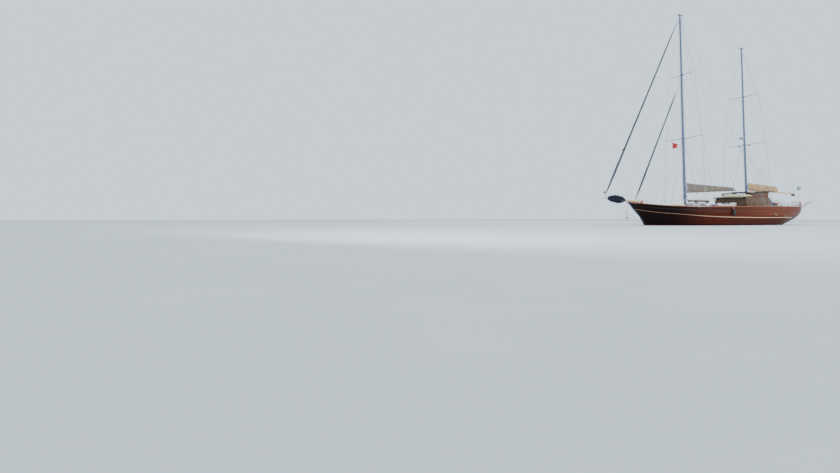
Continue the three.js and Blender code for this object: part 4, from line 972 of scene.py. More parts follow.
def sail_cover(owner, cloth, slot, seed):
    """A sheet draped over the stowed sail: an egg-shaped section that narrows aft, hanging just
    past the boom, with soft sags between its ties and fine creases towards its foot."""
    x0, body = MASTS[owner]["x"], f"{owner}_boom"
    rows = np.array(COVERS[owner])
    first, last = rows[0, 0], rows[-1, 0]
    d = np.linspace(first, last, 170)[:, None]
    low, high, half = (smooth(d, rows[:, 0], rows[:, k]) for k in (1, 2, 3))
    turn = np.linspace(-0.86 * np.pi, 0.86 * np.pi, 61)
    phase = np.random.default_rng(seed).uniform(0, 6.28, 8)
    sag = 0.5 * np.sin(2 * np.pi * d / 0.85 + phase[0])
    sag = sag + 0.5 * np.sin(2 * np.pi * d / 0.53 + phase[1])
    drop = np.abs(turn) / np.pi
    ripple = (np.sin(9 * turn + 5 * d + phase[2]) * 0.4 + np.sin(14 * turn - 8 * d + phase[3]) * 0.3
              + np.sin(2 * np.pi * d / 0.34 + 3 * turn + phase[4]) * 0.5)
    ease = np.clip(np.minimum(d - first, last - d) / 0.3, 0.15, 1)
    swell = 1 + (0.035 * sag * (1 - drop) + 0.030 * ripple * drop ** 1.2) * ease
    y = np.sin(turn) * half * (0.72 - 0.28 * np.cos(turn)) * swell
    middle, tall = (low + high) / 2, (high - low) / 2
    z = middle + np.cos(turn) * tall * (1 + 0.02 * sag * ease)
    hug = (boom_radius(owner, d) + 0.014) ** 2 - (z - boom_level(owner, d)) ** 2
    hug = np.sqrt(np.clip(hug, 0, None)) * (np.abs(turn) > 0.5 * np.pi)
    points = xyz(x0 - d, np.sign(turn) * np.maximum(np.abs(y), hug), z)
    girth, step, area = cloth_size(points)
    along = np.concatenate([[0], np.cumsum(step)])
    uv = np.broadcast_arrays(along[:, None], girth[:, None] * (turn / turn[-1]) / 2)
    piece = Form().grid(points, ring=False, uv=np.stack(uv, -1)).cloth(
        f"{owner}_cover_cloth", cloth, slot, f"{owner}_sail_cover", body)
    ties = Form()
    for at in np.arange(first + 0.45, last - 0.2, 0.85):
        middle_ring = points[int(np.argmin(np.abs(d - at)))]
        ring = middle_ring + (middle_ring - middle_ring.mean(0)) * 0.02
        tape = [(-0.02, -0.002), (0.02, -0.002), (0.02, 0.002), (-0.02, 0.002)]
        ties.grid(swept(np.concatenate([ring, ring[:1]]), tape, up=(1, 0, 0)))
    ties.made(f"{owner}_cover_ties", cloth, body=body)
    s = np.linspace(first + 0.02, last - 0.05, 60)[:, None]
    h, m, t = (np.interp(s, d[:, 0], row[:, 0]) for row in (half, middle, tall))
    floor = boom_level(owner, s) + boom_radius(owner, s) + 0.002
    across, rise = circle(24).T
    stowed = Form().grid(xyz(x0 - s, across * h * (0.72 - 0.28 * rise) * 0.80,
                             np.maximum(m + rise * t * 0.92, floor)))
    stowed.made(f"{owner}_stowed_sail", white_cloth, body=body)


boom_piece("main", spar_paint, 21.5, "spar_paint")
boom_piece("mizzen", bright_wood, 18.9, "bright_wood")
sail_cover("main", main_cover_cloth, "greybeige_cloth", 3)
sail_cover("mizzen", mizzen_cover_cloth, "beige_cloth", 5)


# Under the water
def rudder_blade():
    """A foil: full at the stock, drawn to a thin after edge by a square root of the chord."""
    z = np.linspace(-0.66, -2.31, 24)[:, None]
    lead = -8.29
    trail = smooth(z, (-2.31, -2.29, -1.90, -1.01, -0.62), (-8.75, -8.88, -9.22, -9.18, -8.93))
    t = np.concatenate([np.linspace(0, 1, 14), np.linspace(1, 0, 14)[1:-1]])
    side = np.concatenate([np.ones(14), -np.ones(12)])
    taper = 0.35 + 0.65 * np.sqrt(np.clip(1 - t, 0, 1))
    thick = 0.055 * taper * np.minimum(1, np.sqrt(t / 0.04 + 0.05))
    form = Form().grid(xyz(lead + (trail - lead) * t, side * thick, z))
    form.turned((-8.32, 0, -0.76), UP, "0 0  50 0  50 119.7  0 119.7")
    form.turned((-8.32, 0, -2.35), UP, "0 0  45 0  45 100  0 100")
    form.made("rudder_blade", hull_wood, "varnished_hull", "rudder", "rudder")


def propeller_blades():
    """Three blades: each section is a thin oval, turned by a pitch that falls off with radius."""
    form = Form()
    r = np.linspace(0.05, 0.428, 16)[:, None]
    width = smooth(r, (0.05, 0.15, 0.28, 0.38, 0.428), (0.07, 0.12, 0.155, 0.12, 0.03))
    pitch = np.radians(np.interp(r, [0.05, 0.428], [52, 24]))
    across, thick = circle(14).T
    across, thick = across * width, thick * np.interp(r, [0.05, 0.428], [0.014, 0.004])
    x = -7.685 + across * np.sin(pitch) + thick * np.cos(pitch)
    tangent = across * np.cos(pitch) - thick * np.sin(pitch)
    for turn in np.arange(3) * 2 * np.pi / 3:
        form.grid(xyz(x, r * np.sin(turn) + tangent * np.cos(turn),
                      -1.45 + r * np.cos(turn) - tangent * np.sin(turn)))
    form.turned((-7.6003, 0, -1.45), (-1, 0, 0),
        "0 0  85 0  85 150  60 190  40 230  10 258  0 260")
    form.made("propeller_bronze", bronze, "bronze", "propeller", "propeller")


rudder_blade()
propeller_blades()

# Trunk cabin and what lies on it
TRUNK = np.array([(-1.4, 1.60), (2.5, 1.55), (5.0, 1.40), (6.3, 1.18), (7.0, 0.82)])
ON_DECK = 2.0006


def trunk_y(x): return np.interp(x, TRUNK[:, 0], TRUNK[:, 1])


def porthole(rims, panes, side_y, x, z, size, corner, sunk, out):
    """A rounded frame swept round a window in a curved side, and its pane."""
    along = unit((1.0, (side_y(x + 0.1) - side_y(x - 0.1)) / 0.2, 0))
    outward = np.array((-along[1], along[0], 0))
    centre = np.array((x, side_y(x), z))
    size = np.array(size)
    shape = outline(*size, min(size) * 0.6, 5)
    rows = []
    for grow, lift in ((0, 0), (0.022, 0), (0.022, 0.0098), (0.0132, 0.014), (0.0044, 0.0098)):
        k = shape * (1 + grow / size)
        rows.append(centre + k[:, :1] * along + k[:, 1:] * UP + outward * lift)
    rims.grid(np.stack(rows, 1)[:, ::-1], loop=True)
    shape = outline(*(size + 0.005), corner)
    panes.grid(np.stack([centre + shape[:, :1] * along + shape[:, 1:] * UP + outward * h
                         for h in (sunk, out)]))


plan = np.concatenate([TRUNK, TRUNK[::-1] * [1, -1]])[::-1]


def plan_row(inset, z):
    return xyz((plan[:, 0] - 2.8) * (1 - inset / 4.2) + 2.8, plan[:, 1] * (1 - inset / 1.5), z)


sides = Form().grid(np.stack([plan_row(inset, z) for inset, z in (
    (0.0, deck_z(plan[:, 0]) + 0.002), (0.0, 1.93), (-0.012, 1.94), (-0.018, 1.955), (-0.012, 1.97),
    (0.0, 1.985))]))
for x in (3.3, 2.15):
    sides.slab((x - 0.04, -0.33, 1.99), (x + 0.04, 0.33, 2.245))
    for y in (0.29, -0.29):
        sides.slab((x - 0.04, y - 0.04, 1.99), (x + 0.04, y + 0.04, 2.36))
sides.made("trunk_cabin_sides", trim_wood, "varnished_trim", "trunk_cabin", crease=30)
Form().grid(np.stack([plan_row(0.03, 1.984), plan_row(0.03, 1.9985)])).made(
    "trunk_cabin_top", teak, "teak", crease=30)
rims, panes = Form(), Form()
for x in (-0.9, 0.4, 1.7, 3.0, 4.2, 5.4):
    porthole(rims, panes, trunk_y, x, 1.72, (0.19, 0.085), 0.05, -0.01, 0.004)
rims.mirror().made("trunk_port_rims", bronze, "bronze")
panes.mirror().made("trunk_port_panes", glass)


def cushion(name, low, high, cloth, crown=0.03, channels=(), across=(), plan=None, seed=1,
            power=5.0, stands_for=""):
    """A stuffed pad: rows along x, each a rounded section; width and height fall away at both ends
    on a high-power curve, the top is crowned, and sewn channels press into it."""
    low, high = np.asarray(low, float), np.asarray(high, float)
    centre, half = (low + high) / 2, (high - low) / 2
    t = np.sin(np.linspace(-np.pi / 2, np.pi / 2, 46))[:, None]
    end = (1 - np.abs(t) ** 9) ** (1 / 5)
    turn = np.linspace(0, 2 * np.pi, 49)[:-1]
    flat, rise = (np.sign(v) * np.abs(v) ** (2 / power) for v in (np.cos(turn), np.sin(turn)))
    x = centre[0] + half[0] * t
    reach = plan(x) if plan else half[1]
    y = reach * (1 - 0.015 * (1 - t ** 2)) * np.clip(end, 0.02, 1) * flat
    noise = np.random.default_rng(seed).uniform(0, 6.28, 4)
    ripple = 0.12 * crown * (np.sin(x * 7 + noise[0]) * np.cos(y * 6 + noise[1])
                             + np.sin(x * 13 + y * 9 + noise[2]))
    dome = crown * np.sqrt(1 - t ** 2) * np.sqrt(1 - flat ** 2)
    press = sum(0.6 * crown * np.exp(-((x - at) / 0.03) ** 2) for at in channels)
    press = press + sum(0.6 * crown * np.exp(-((y - at + centre[1]) / 0.03) ** 2) for at in across)
    body = centre[2] + (half[2] - crown * 0.5) * rise * (0.35 + 0.65 * np.clip(end, 0, 1))
    z = body + (rise > 0) * rise ** 2 * (dome + ripple - press)
    z = np.clip(z, low[2] + 0.002, high[2] + 0.012)
    pad = Form().grid(xyz(x, y + centre[1], z))
    pad.made(name, cloth, "cushion", stands_for, crease=70)


for side, y0, y1, seed, stands_for in (("port", 0.01, 0.9, 2, "sunbed_forward"),
                                       ("starboard", -0.9, -0.01, 3, "")):
    cushion(f"sunbed_forward_{side}", (5.15, y0, ON_DECK), (6.65, y1, 2.17), cushion_cloth,
            channels=(5.65, 6.15), seed=seed, stands_for=stands_for,
            plan=lambda x: np.interp(x, [5.15, 6.65], [0.44, 0.29]))
for k, y0 in enumerate((-1.45, -0.475, 0.50)):
    cushion(f"sunbed_aft_{k + 1}", (-1.15, y0, ON_DECK), (1.35, y0 + 0.95, 2.17), cushion_cloth,
            channels=(-0.3, 0.5), seed=5 + k, stands_for="" if k else "sunbed_aft")
pale, mauve = white_cloth, purple_cloth
loose = [(-0.95, 1.1, 2.165, pale), (-0.95, 0.35, 2.165, mauve), (-0.95, -0.5, 2.165, pale)]
loose += [(x, 1.08, ON_DECK, cloth) for x, cloth in (
    (1.75, mauve), (3.0, pale), (3.55, mauve), (4.10, pale), (4.65, pale), (5.2, mauve))]
loose += [(x, 1.05, 2.205, cloth) for x, cloth in (
    (3.3, pale), (3.85, pale), (4.4, mauve), (4.93, pale))]
for k, (x, y, z, cloth) in enumerate(loose):
    cushion(f"loose_cushion_{k + 1}", (x - 0.25, y - 0.24, z), (x + 0.25, y + 0.24, z + 0.21),
            cloth, 0.06, seed=20 + k, power=3.0)


def tender_boat():
    """Round-bilged sections from a table of x, half width and keel height; a cover is stretched
    over the top, and a rope fender runs round the gunwale."""
    aft, bow = 1.75, 4.24
    table = (aft, 2.2, 3.2, 3.9, 4.22)
    x = np.linspace(aft, bow, 44)[:, None]
    half = smooth(x, table, (0.48, 0.60, 0.56, 0.33, 0.07))
    low = smooth(x, table, (2.27, 2.24, 2.25, 2.36, 2.56))
    top = 2.66 + 0.02 * (x - aft) / 2.5
    t = np.linspace(-np.pi / 2, np.pi / 2, 21)
    hull = xyz(x, half * np.sign(np.sin(t)) * np.abs(np.sin(t)) ** 0.8,
               top - (top - low) * np.abs(np.cos(t)) ** 0.7)
    lid = np.linspace(1, -1, 15)
    y = half * lid * 0.98
    z = top + 0.09 * (1 - lid ** 2) * np.clip((bow - x) / 0.5, 0.1, 1)
    Form().grid(np.concatenate([hull, xyz(x, y, z)], 1)).made(
        "tender_hull", tender_wood, "tender_skin", "tender", crease=50)
    points = xyz(x, np.concatenate([half * 1.01, y, -half * 1.01], 1),
                 np.concatenate([top - 0.06, z + 0.006, top - 0.06], 1))
    piece = Form().grid(points, ring=False).cloth("tender_cover", pale_cover)
    edge = np.concatenate([hull[:, 0], hull[::-1, -1]])
    edge = np.concatenate([edge, edge[:1]]) - [0, 0, 0.015]
    Form().tube(edge, 0.024).made("tender_gunwale", rope)


tender_boat()

# Deckhouse: windows between the sill and the arched roofs, corner posts and mouldings
FRONT_X, BACK_X, HOUSE_HALF, WALL_TOP = -1.9, -5.3, 1.85, 2.9605
SILL, GLASS_TOP = 2.162, 2.888
frames, panes = Form(), Form()
for x0, x1 in ((-5.18, -4.18), (-4.08, -3.08), (-2.98, -2.02)):
    for y in (1.82, -1.82):
        panes.slab((x0 + 0.002, y - 0.004, SILL), (x1 - 0.002, y + 0.004, GLASS_TOP), 0.002, 1)
for y0, y1, x in ((-1.73, -0.62, -1.93), (-0.52, 0.52, -1.93), (0.62, 1.73, -1.93),
                  (0.56, 1.73, -5.27), (-1.73, -0.56, -5.27)):
    panes.slab((x - 0.004, y0 + 0.002, SILL), (x + 0.004, y1 - 0.002, GLASS_TOP), 0.002, 1)
    if x == -5.27:
        a, b = y0 - 0.03, y1 + 0.03
        for y, z, to_y, to_z in ((a, 2.13, b, 2.165), (a, 2.885, b, 2.92),
                                 (a, 2.13, y0 + 0.003, 2.92), (y1 - 0.003, 2.13, b, 2.92)):
            frames.slab((-5.312, y, z), (-5.30, to_y, to_z), 0.004, 2)
deck = deck_z(FRONT_X)
for y in (HOUSE_HALF, -HOUSE_HALF):
    frames.slab((-5.31, y - 0.04, deck_z(BACK_X) + 0.004), (-5.26, y + 0.008, 2.958), 0.008)
    frames.slab((-1.96, y - 0.04, deck + 0.004), (-1.892, y + 0.008, 2.07), 0.008)
    frames.slab((BACK_X, y - 0.003, 2.02), (FRONT_X, y + 0.02, 2.06), 0.006)
    frames.slab((BACK_X, y - 0.003, deck + 0.02), (FRONT_X, y + 0.012, deck + 0.12), 0.006)
frames.slab((-1.903, -1.85, 2.02), (-1.88, 1.85, 2.06), 0.006)
frames.made("deckhouse_trim", trim_wood, "varnished_trim")
panes.made("deckhouse_panes", glass)


def door_leaf():
    """A panelled door: stiles and rails round a lower panel and a glazed upper one, with a knob."""
    x0, x1, y0, y1, z0, z1 = -5.295, -5.255, -0.352, 0.352, 1.568, 2.912
    leaf = Form().slabs(0.005, (x0, y0, z0, x1, y0 + 0.10, z1), (x0, y1 - 0.10, z0, x1, y1, z1),
                        (x0, y0, z0, x1, y1, z0 + 0.13), (x0, y0, z1 - 0.10, x1, y1, z1),
                        (x0, y0, 2.16, x1, y1, 2.25), steps=2)
    leaf.slab((x0 + 0.012, y0 + 0.09, z0 + 0.12), (x1 - 0.012, y1 - 0.09, 2.17), 0.003, 1)
    leaf.slab((x0 + 0.006, y0 + 0.15, z0 + 0.18), (x1 - 0.006, y1 - 0.15, 2.11), 0.006, 2)
    pane = Form().slab((x0 + 0.016, y0 + 0.09, 2.24), (x1 - 0.016, y1 - 0.09, z1 - 0.09), 0.002, 1)
    metal = Form()
    for z in (1.75, 2.70):
        metal.turned((-5.31, -0.36, z), UP, "0 0  9 0  9 120  0 120", 12)
        metal.slab((-5.3075, -0.36, z + 0.01), (-5.294, -0.30, z + 0.11), 0.003, 1)
    metal.turned((x0, 0.29, 2.20), (-1, 0, 0),
        "0 -2  28 0  28 4  10 10  10 30  24 38  26 50  18 60  0 62", 20)
    leaf.made("door_panels", trim_wood, "varnished_trim", "deckhouse_door", "deckhouse_door")
    pane.made("door_pane", glass, body="deckhouse_door")
    metal.made("door_hinges", bronze, "bronze", body="deckhouse_door")


door_leaf()


def curtain(name, start, finish, seed, stands_for=""):
    """A hung sheet: pleats wave across its face, deeper at the foot, between straight top hooks."""
    top, drop = 2.955, 0.895
    start, finish = np.asarray(start, float), np.asarray(finish, float)
    length, way = np.linalg.norm(finish - start), unit(finish - start)
    s = np.linspace(0, length, int(length * 60))[:, None]
    v = np.linspace(0, 1, 26)
    phase = np.random.default_rng(seed).uniform(0, 6.28, 3)
    wave = 0.6 * np.sin(2 * np.pi * s / 0.21 + 1.4 * np.sin(2 * np.pi * s / 0.9 + phase[0]))
    wave = wave + 0.4 * np.sin(2 * np.pi * s / 0.083 + phase[1])
    shift = wave * (0.0035 + 0.0075 * v) + 0.002 * np.sin(2 * np.pi * s / 1.7 + phase[2])
    points = xyz(start[0] + s * way[0] - shift * way[1], start[1] + s * way[1] + shift * way[0],
                 top - drop * v)
    uv = np.stack(np.broadcast_arrays(s, v * 0.9), -1)
    piece = Form().grid(points, ring=False, uv=uv).cloth(
        name, curtain_cloth, "curtain_cloth", stands_for, thick=0.002)


curtain("curtain_port", (-5.27, 1.868), (-1.90, 1.868), 1, "curtains")
curtain("curtain_front", (-1.882, 1.84), (-1.882, -1.84), 2)
curtain("curtain_starboard", (-1.90, -1.868), (-5.27, -1.868), 3)

# Roofs; columns: x, crown height, edge height, half width
FRONT = np.array([(-2.8, 3.40, 3.140, 2.0), (-1.65, 3.10, 3.021, 2.0)])
ROOF = np.array([(-5.9, 3.71, 3.68, 2.000), (-5.3, 3.71, 3.67, 2.008), (-4.3, 3.70, 3.65, 2.02),
                 (-3.3, 3.66, 3.56, 2.01), (-2.86, 3.62, 3.44, 1.96)])


def arch(x, y, table):
    """Edge height plus the crown's rise times one minus the square of the distance out."""
    crown, edge, half = (np.interp(x, table[:, 0], table[:, k]) for k in (1, 2, 3))
    return edge + (crown - edge) * (1 - (y / half) ** 2)


def roof_skin(xs, table, lift, thick):
    """A rounded board over the arch: the top at lift above it, the underside thick below that."""
    share, r = np.linspace(-1, 1, 33), thick / 2
    edge = np.linspace(np.pi / 2, -np.pi / 2, 7)[1:-1]
    rows = []
    for x in xs:
        half = np.interp(x, table[:, 0], table[:, 3])
        top = arch(x, share * half, table) + lift
        out, rise = half + r * np.cos(edge) - r, r * np.sin(edge) - r
        inner_y, inner_z = share[1:-1] * half, top[1:-1]
        y = np.concatenate([inner_y, out, inner_y[::-1], -out[::-1]])
        z = np.concatenate([inner_z, top[-1] + rise, inner_z[::-1] - thick, top[0] + rise[::-1]])
        rows.append(xyz(x, y, z))
    return Form().grid(np.array(rows))


boards = roof_skin(np.linspace(-1.66, -2.8, 12), FRONT, -0.012, 0.045)
y = np.linspace(-1.85, 1.85, 31)
under = arch(-1.93, y, FRONT) - 0.035
# painted shade: the gable under the front roof's eave is coloured dark, though it stands for
# varnished trim
gable = [(-1.902, y, under), (-1.902, y, WALL_TOP), (-1.958, y, WALL_TOP), (-1.958, y, under)]
Form().grid(bar(gable)).made("front_roof_gable", dark_trim_and_shade, "varnished_trim", crease=30)
xs = np.linspace(-2.78, -1.95, 8)
board(boards, xs, 1.846, 1.796, WALL_TOP, arch(xs, 1.82, FRONT) - 0.035)
boards.made("front_roof_boards", roof_wood, "varnished_trim", "roof_front")
xs, y = np.linspace(-1.65, -2.79, 20)[:, None], np.linspace(-1.995, 1.995, 60)
points = xyz(xs, y, arch(xs, y, FRONT) + 0.004 + 0.003 * np.sin(9 * y) * np.sin(7 * xs))
awning = Form().grid(points, ring=False).cloth(
    "front_awning_canvas", yellow_canvas, "canvas", thick=0.004, offset=1.0)
t, v = np.linspace(0, 1, 14)[:, None], np.linspace(-1, 1, 50)
visor = xyz(-1.64 + 0.40 * t, (1.98 - 0.10 * t) * v,
            arch(-1.652, 1.98 * v, FRONT) - 0.012 - 0.11 * t + 0.004 * t * np.sin(22 * v))
piece = Form().grid(visor, ring=False).cloth(
    "front_visor_canvas", green_binding, "canvas", thick=0.004)
binding = Form().tube(xyz(-1.652, y, arch(-1.652, y, FRONT) - 0.03), 0.046, 12)
for edge in (0, -1):
    binding.tube(points[:, edge] - [0, 0, 0.016], 0.026, 10)
binding.made("awning_binding", green_binding, "canvas")

xs = smooth(np.linspace(0, 1, 40), (0, 0.2, 1.0), (-2.86, -3.3, -5.9))
roof_skin(xs, ROOF, 0.0, 0.06).made("aft_roof_boards", roof_wood, "varnished_trim", "roof_aft")
screens = Form()
xs = np.linspace(-5.39, -2.86, 30)
top = arch(xs, 1.845, ROOF) - 0.055
foot = np.where(xs < -5.3, top - 0.012 - (xs + 5.39) / 0.09 * (top - WALL_TOP), WALL_TOP)
board(screens, xs, 1.845, 1.79, foot, top)
for side in SIDES:
    for x in (-5.25, -4.2, -3.4, -2.9):
        screens.slab((x - 0.03, side * 1.845 - 0.01, 2.961),
                     (x + 0.03, side * 1.845 + 0.012, arch(x, 1.845, ROOF) - 0.06), 0.006, 2)
screens.made("aft_roof_screens", screen_wood, "varnished_trim")
y = np.linspace(-1.955, 1.955, 50)
# painted shade: the dark tube along the aft roof's front edge stands for its shaded edge and
# underside
fascia = Form().tube(xyz(-2.855, y, arch(-2.86, y, ROOF) - 0.03), 0.036, 10)
xs = np.linspace(-5.89, -2.87, 40)
edge_z, edge_y = (np.interp(xs, ROOF[:, 0], ROOF[:, k]) for k in (2, 3))
for side in SIDES:
    fascia.tube(xyz(xs, side * (edge_y - 0.005), edge_z - 0.03), 0.034, 10)
y = np.linspace(-1.995, 1.995, 50)
fascia.tube(xyz(-5.895, y, arch(-5.9, y, ROOF) - 0.03), 0.034, 10)
# painted shade: the dark board under each side edge of the aft roof is the shadow under its eave
xs = np.linspace(-5.39, -2.87, 40)
top = arch(xs, 1.86, ROOF) - 0.061
board(fascia, xs, 1.868, 1.848, top - 0.15, top)
# painted shade: a dark board fills the gap between the front roof and the aft roof's front edge
y = np.linspace(-1.80, 1.80, 41)
low, top = arch(-2.8, y, FRONT) + 0.012, arch(-2.86, y, ROOF) - 0.055
fascia.grid(bar([(-2.83, y, low), (-2.83, y, top), (-2.85, y, top), (-2.85, y, low)]))
fascia.turned((MIZZEN["x"], 0, 3.675), UP, "128 0  175 0  175 30  150 45  150 80  128 85", 28)
fascia.made("roof_fascia_and_shade", dark_trim_and_shade)
for k, (x, y0, y1, cloth) in enumerate(((-2.30, 0.55, 1.45, pale), (-2.56, 0.30, 1.25, mauve),
                                        (-2.42, -1.2, -0.3, pale))):
    z0, z1 = (arch(x, y, FRONT) + 0.098 for y in (y0, y1))
    bulge = 0.082 + 0.006 * np.sin(np.linspace(0, 20, 24))
    roll = Form().rod((x, y0, z0), (x, y1, z1), bulge, 20, 24)
    roll.made(f"roof_roll_{k + 1}", cloth)

# Dark posts at the front corners and a moulding down the curved edge of the wing walls
form = Form().rod((-1.71, 1.90, 3.00), (-1.93, 1.90, 2.03), 0.030, 10)
x, z = mm("-5420 2955  -5470 2930  -5600 2720  -5860 2490  -6100 2350  -6350 2250").T
form.grid(swept(xyz(x, 1.82, z), mm("44 -12  44 16  30 26  -30 26  -44 16  -44 -12")))
form.slab((-6.375, 1.776, deck_z(-6.3) + 0.004), (-6.335, 1.864, 2.262), 0.008)
form.mirror().made("wing_mouldings", dark_trim_and_shade)

# Helm, seat and stern
foot = deck_z(-8.75) + 0.002
form = Form().slabs(0.012, (-8.945, -0.275, foot, -8.555, 0.275, 2.46),
                    (-8.95, -0.28, 2.455, -8.55, 0.28, 2.5056))
form.slab((-8.95, -0.28, foot), (-8.55, 0.28, 1.55), 0.008)
form.slabs(0.003, (-8.89, 0.271, 1.62, -8.61, 0.279, 2.38),
           (-8.89, -0.279, 1.62, -8.61, -0.271, 2.38), (-8.559, -0.21, 1.62, -8.5505, 0.21, 2.38))
form.made("helm_console_box", trim_wood, "varnished_trim", "helm_console")
form = Form().turned((-8.94, 0, 2.3556), (-1, 0, 0),
    "0 0  75 0  70 20  55 30  55 120  60 129.7  0 129.7")
for y in (-0.19, -0.14):
    form.turned((-8.955, y, 2.33), (-1, 0, 0.6),
        "0 0  12 0  12 100  18 120  20 140  12 155  0 157", 12)
form.slab((-8.958, -0.225, 2.28), (-8.948, -0.105, 2.38), 0.004)
form.made("wheel_bearing", bronze, "bronze")


def wheel():
    """A ship's wheel: an oval rim of felloes, eight turned spokes with handles, a brass hub."""
    centre = np.array((-9.07, 0, 2.3556))
    turn = np.linspace(0, 2 * np.pi, 97)[:-1]

    def rim(radius, section):
        """A ring about the hub; the section's numbers are distances out and aft."""
        return bar([(centre[0] - aft, (radius + out) * np.cos(turn),
                     centre[2] + (radius + out) * np.sin(turn)) for out, aft in mm(section)])

    wood = Form().grid(rim(0.39, "0 10  12 2  28 2  40 10  40 48  28 56  12 56  0 48"), loop=True)
    for t in np.arange(8) * np.pi / 4:
        wood.turned(centre + [-0.030, 0, 0], (0, math.cos(t), math.sin(t)),
            "0 60  17 60  17 110  22 140  12 200  20 270  15 330  15 430  11 440  16 470  17 "
            "490  12 515  0 520", 14)
    metal = Form().turned(centre, (-1, 0, 0), "0 0  65 0  70 10  70 45  55 56  30 60  0 60", 28)
    metal.grid(rim(0.405, "0 55  11 55  11 58  0 58"), loop=True)
    wood.made("wheel_rim_and_spokes", furniture_wood, "varnished_trim", "steering_wheel",
              "steering_wheel")
    metal.made("wheel_hub", bronze, body="steering_wheel")


wheel()
SEAT = 1.8856
BENCH = np.array([(11.65, 0.45), (11.4, 0.85), (10.7, 1.35), (9.9, 1.75)])[::-1]


def bench_y(x): return np.interp(-x, BENCH[:, 0], BENCH[:, 1])


xs = np.linspace(-9.9, -11.65, 26)
rings = []
for inset, z in ((0.012, deck_z(-9.9) + 0.002), (0.012, SEAT - 0.035), (0.0, SEAT - 0.033),
                 (0.0, SEAT - 0.004), (0.004, SEAT)):
    port = xyz(xs, np.maximum(bench_y(xs) - inset, 0.02), z)
    rings.append(np.concatenate([port, (port * [1, -1, 1])[::-1]]))
Form().grid(np.stack(rings)).made("stern_bench", furniture_wood, "varnished_trim", "aft_bench")
slats = Form()
for y in np.linspace(-1.6, 1.6, 17):
    slats.slab((-9.899, y - 0.075, 1.50), (-9.888, y + 0.075, SEAT - 0.05), 0.004)
slats.made("bench_front_boards", trim_wood, "varnished_trim")
for k, (x0, x1) in enumerate(((-10.49, -9.91), (-11.07, -10.50), (-11.63, -11.08))):
    cushion(f"stern_cushion_{k + 1}", (x0, -1.6, SEAT + 0.0004), (x1, 1.6, 2.0256), cushion_cloth,
            crown=0.02, across=(-0.5, 0.5), seed=40 + k, stands_for="" if k else "aft_cushion",
            plan=lambda x: bench_y(np.clip(x, -11.62, -9.9)) - 0.06)

# Balustrades round the stern: turned balusters under a moulded rail
RAIL_X = np.array([-7.5, -8.5, -9.5, -10.3, -11.0, -11.6, -12.02])
rail_path = xyz(RAIL_X, rail_y(RAIL_X) - 0.045, 2.5)
posts = Form()
for a, b in zip(rail_path[:-1], rail_path[1:]):
    count = max(1, round(np.linalg.norm(b - a) / 0.23))
    for k in range(count):
        x, y, _ = a + (b - a) * (k + 0.5) / count
        seat = max(cap_z(x - 0.022), cap_z(x + 0.022)) + 0.001
        tall = 2.51 - seat
        profile = [(0, 0), (0.026, 0), (0.026, 0.03), (0.016, 0.04), (0.020, 0.06), (0.026, 0.13),
                   (0.022, 0.20), (0.013, 0.29), (0.012, 0.34), (0.018, 0.36), (0.013, 0.38),
                   (0.020, tall - 0.03), (0.026, tall - 0.02), (0.026, tall), (0, tall)]
        posts.turned((x, y, seat), UP, [(1.35 * r, min(h, tall)) for r, h in profile], 12)
posts.mirror().made("stern_balusters", pink_paint_and_shade, "white_metal",
                    "stern_balustrade_port stern_balustrade_starboard")
xs = np.linspace(-7.5, -12.02, 60)
section = mm("30 -22.5  38 -12  38 10  28 22.5  -28 22.5  -38 10  -38 -12  -30 -22.5")
form = Form().grid(swept(xyz(xs, np.interp(-xs, -RAIL_X, rail_path[:, 1]), 2.5225), section))
form.mirror().made("stern_handrail", rail_wood, "varnished_trim")

seat = cap_z(-12.16) + 0.002
top = 3.99 - seat + 0.02
Form().turned((-12.19, 0.46, seat), UP, [
    (0, 0), (0.07, 0), (0.07, 0.015), (0.036, 0.03), (0.032, 0.05), (0.030, 1.6), (0.030, top),
    (0, top)], 20).made("stern_pole_tube", white_paint, "white_metal", "stern_pole")
dome = "0 0  180 0  190 6  225 75  230 100  226 160  210 270  175 340  110 395  50 416  0 420"
Form().turned((-12.19, 0.46, 3.99), UP, dome, 40).made(
    "stern_dome", dome_grey, "white_metal", crease=50)

# Passerelle: planks on two side tubes, worked out level, then sloped about its hinge
tip = Matrix.Translation((-12.42, 0, 1.72)) @ Matrix.Rotation(math.radians(21), 4, "Y")
MID = -0.13
planks, tubes = Form(), Form()
for x in -2.80 + np.arange(24) * 0.112:
    planks.slab((x, MID - 0.255, 0.005), (x + 0.10, MID + 0.255, 0.030), 0.004)
for side in SIDES:
    y, inner = MID + side * 0.268, MID + side * 0.215
    for z, radius, sides in ((0.0, 0.021, 12), (-0.025, 0.010, 8)):
        tubes.rod((-2.83, y, z), (-0.13, y, z), radius, sides, 4)
    tubes.slab((-0.14, inner - 0.012, -0.033), (0.0, inner + 0.012, 0.033), 0.006)
for x in (-2.83, -2.1, -1.4, -0.7, -0.125):
    tubes.rod((x, MID - 0.268, 0), (x, MID + 0.268, 0), 0.016, 10)
tubes.turned((0, -0.3847, 0), (0, 1, 0),
    "0 0  42 0  42 60  30 65  30 445  42 450  42 509.4  0 509.4", 20)
for y in (-0.38, 0.08):
    tubes.turned((-2.79, y, 0), (0, 1, 0), "0 0  34 0  34 40  0 40", 18)
planks.turn(tip).made("passerelle_planks", ramp_wood, "bright_wood", "passerelle", "passerelle")
tubes.turn(tip).made("passerelle_tubes", steel, "steel", body="passerelle")

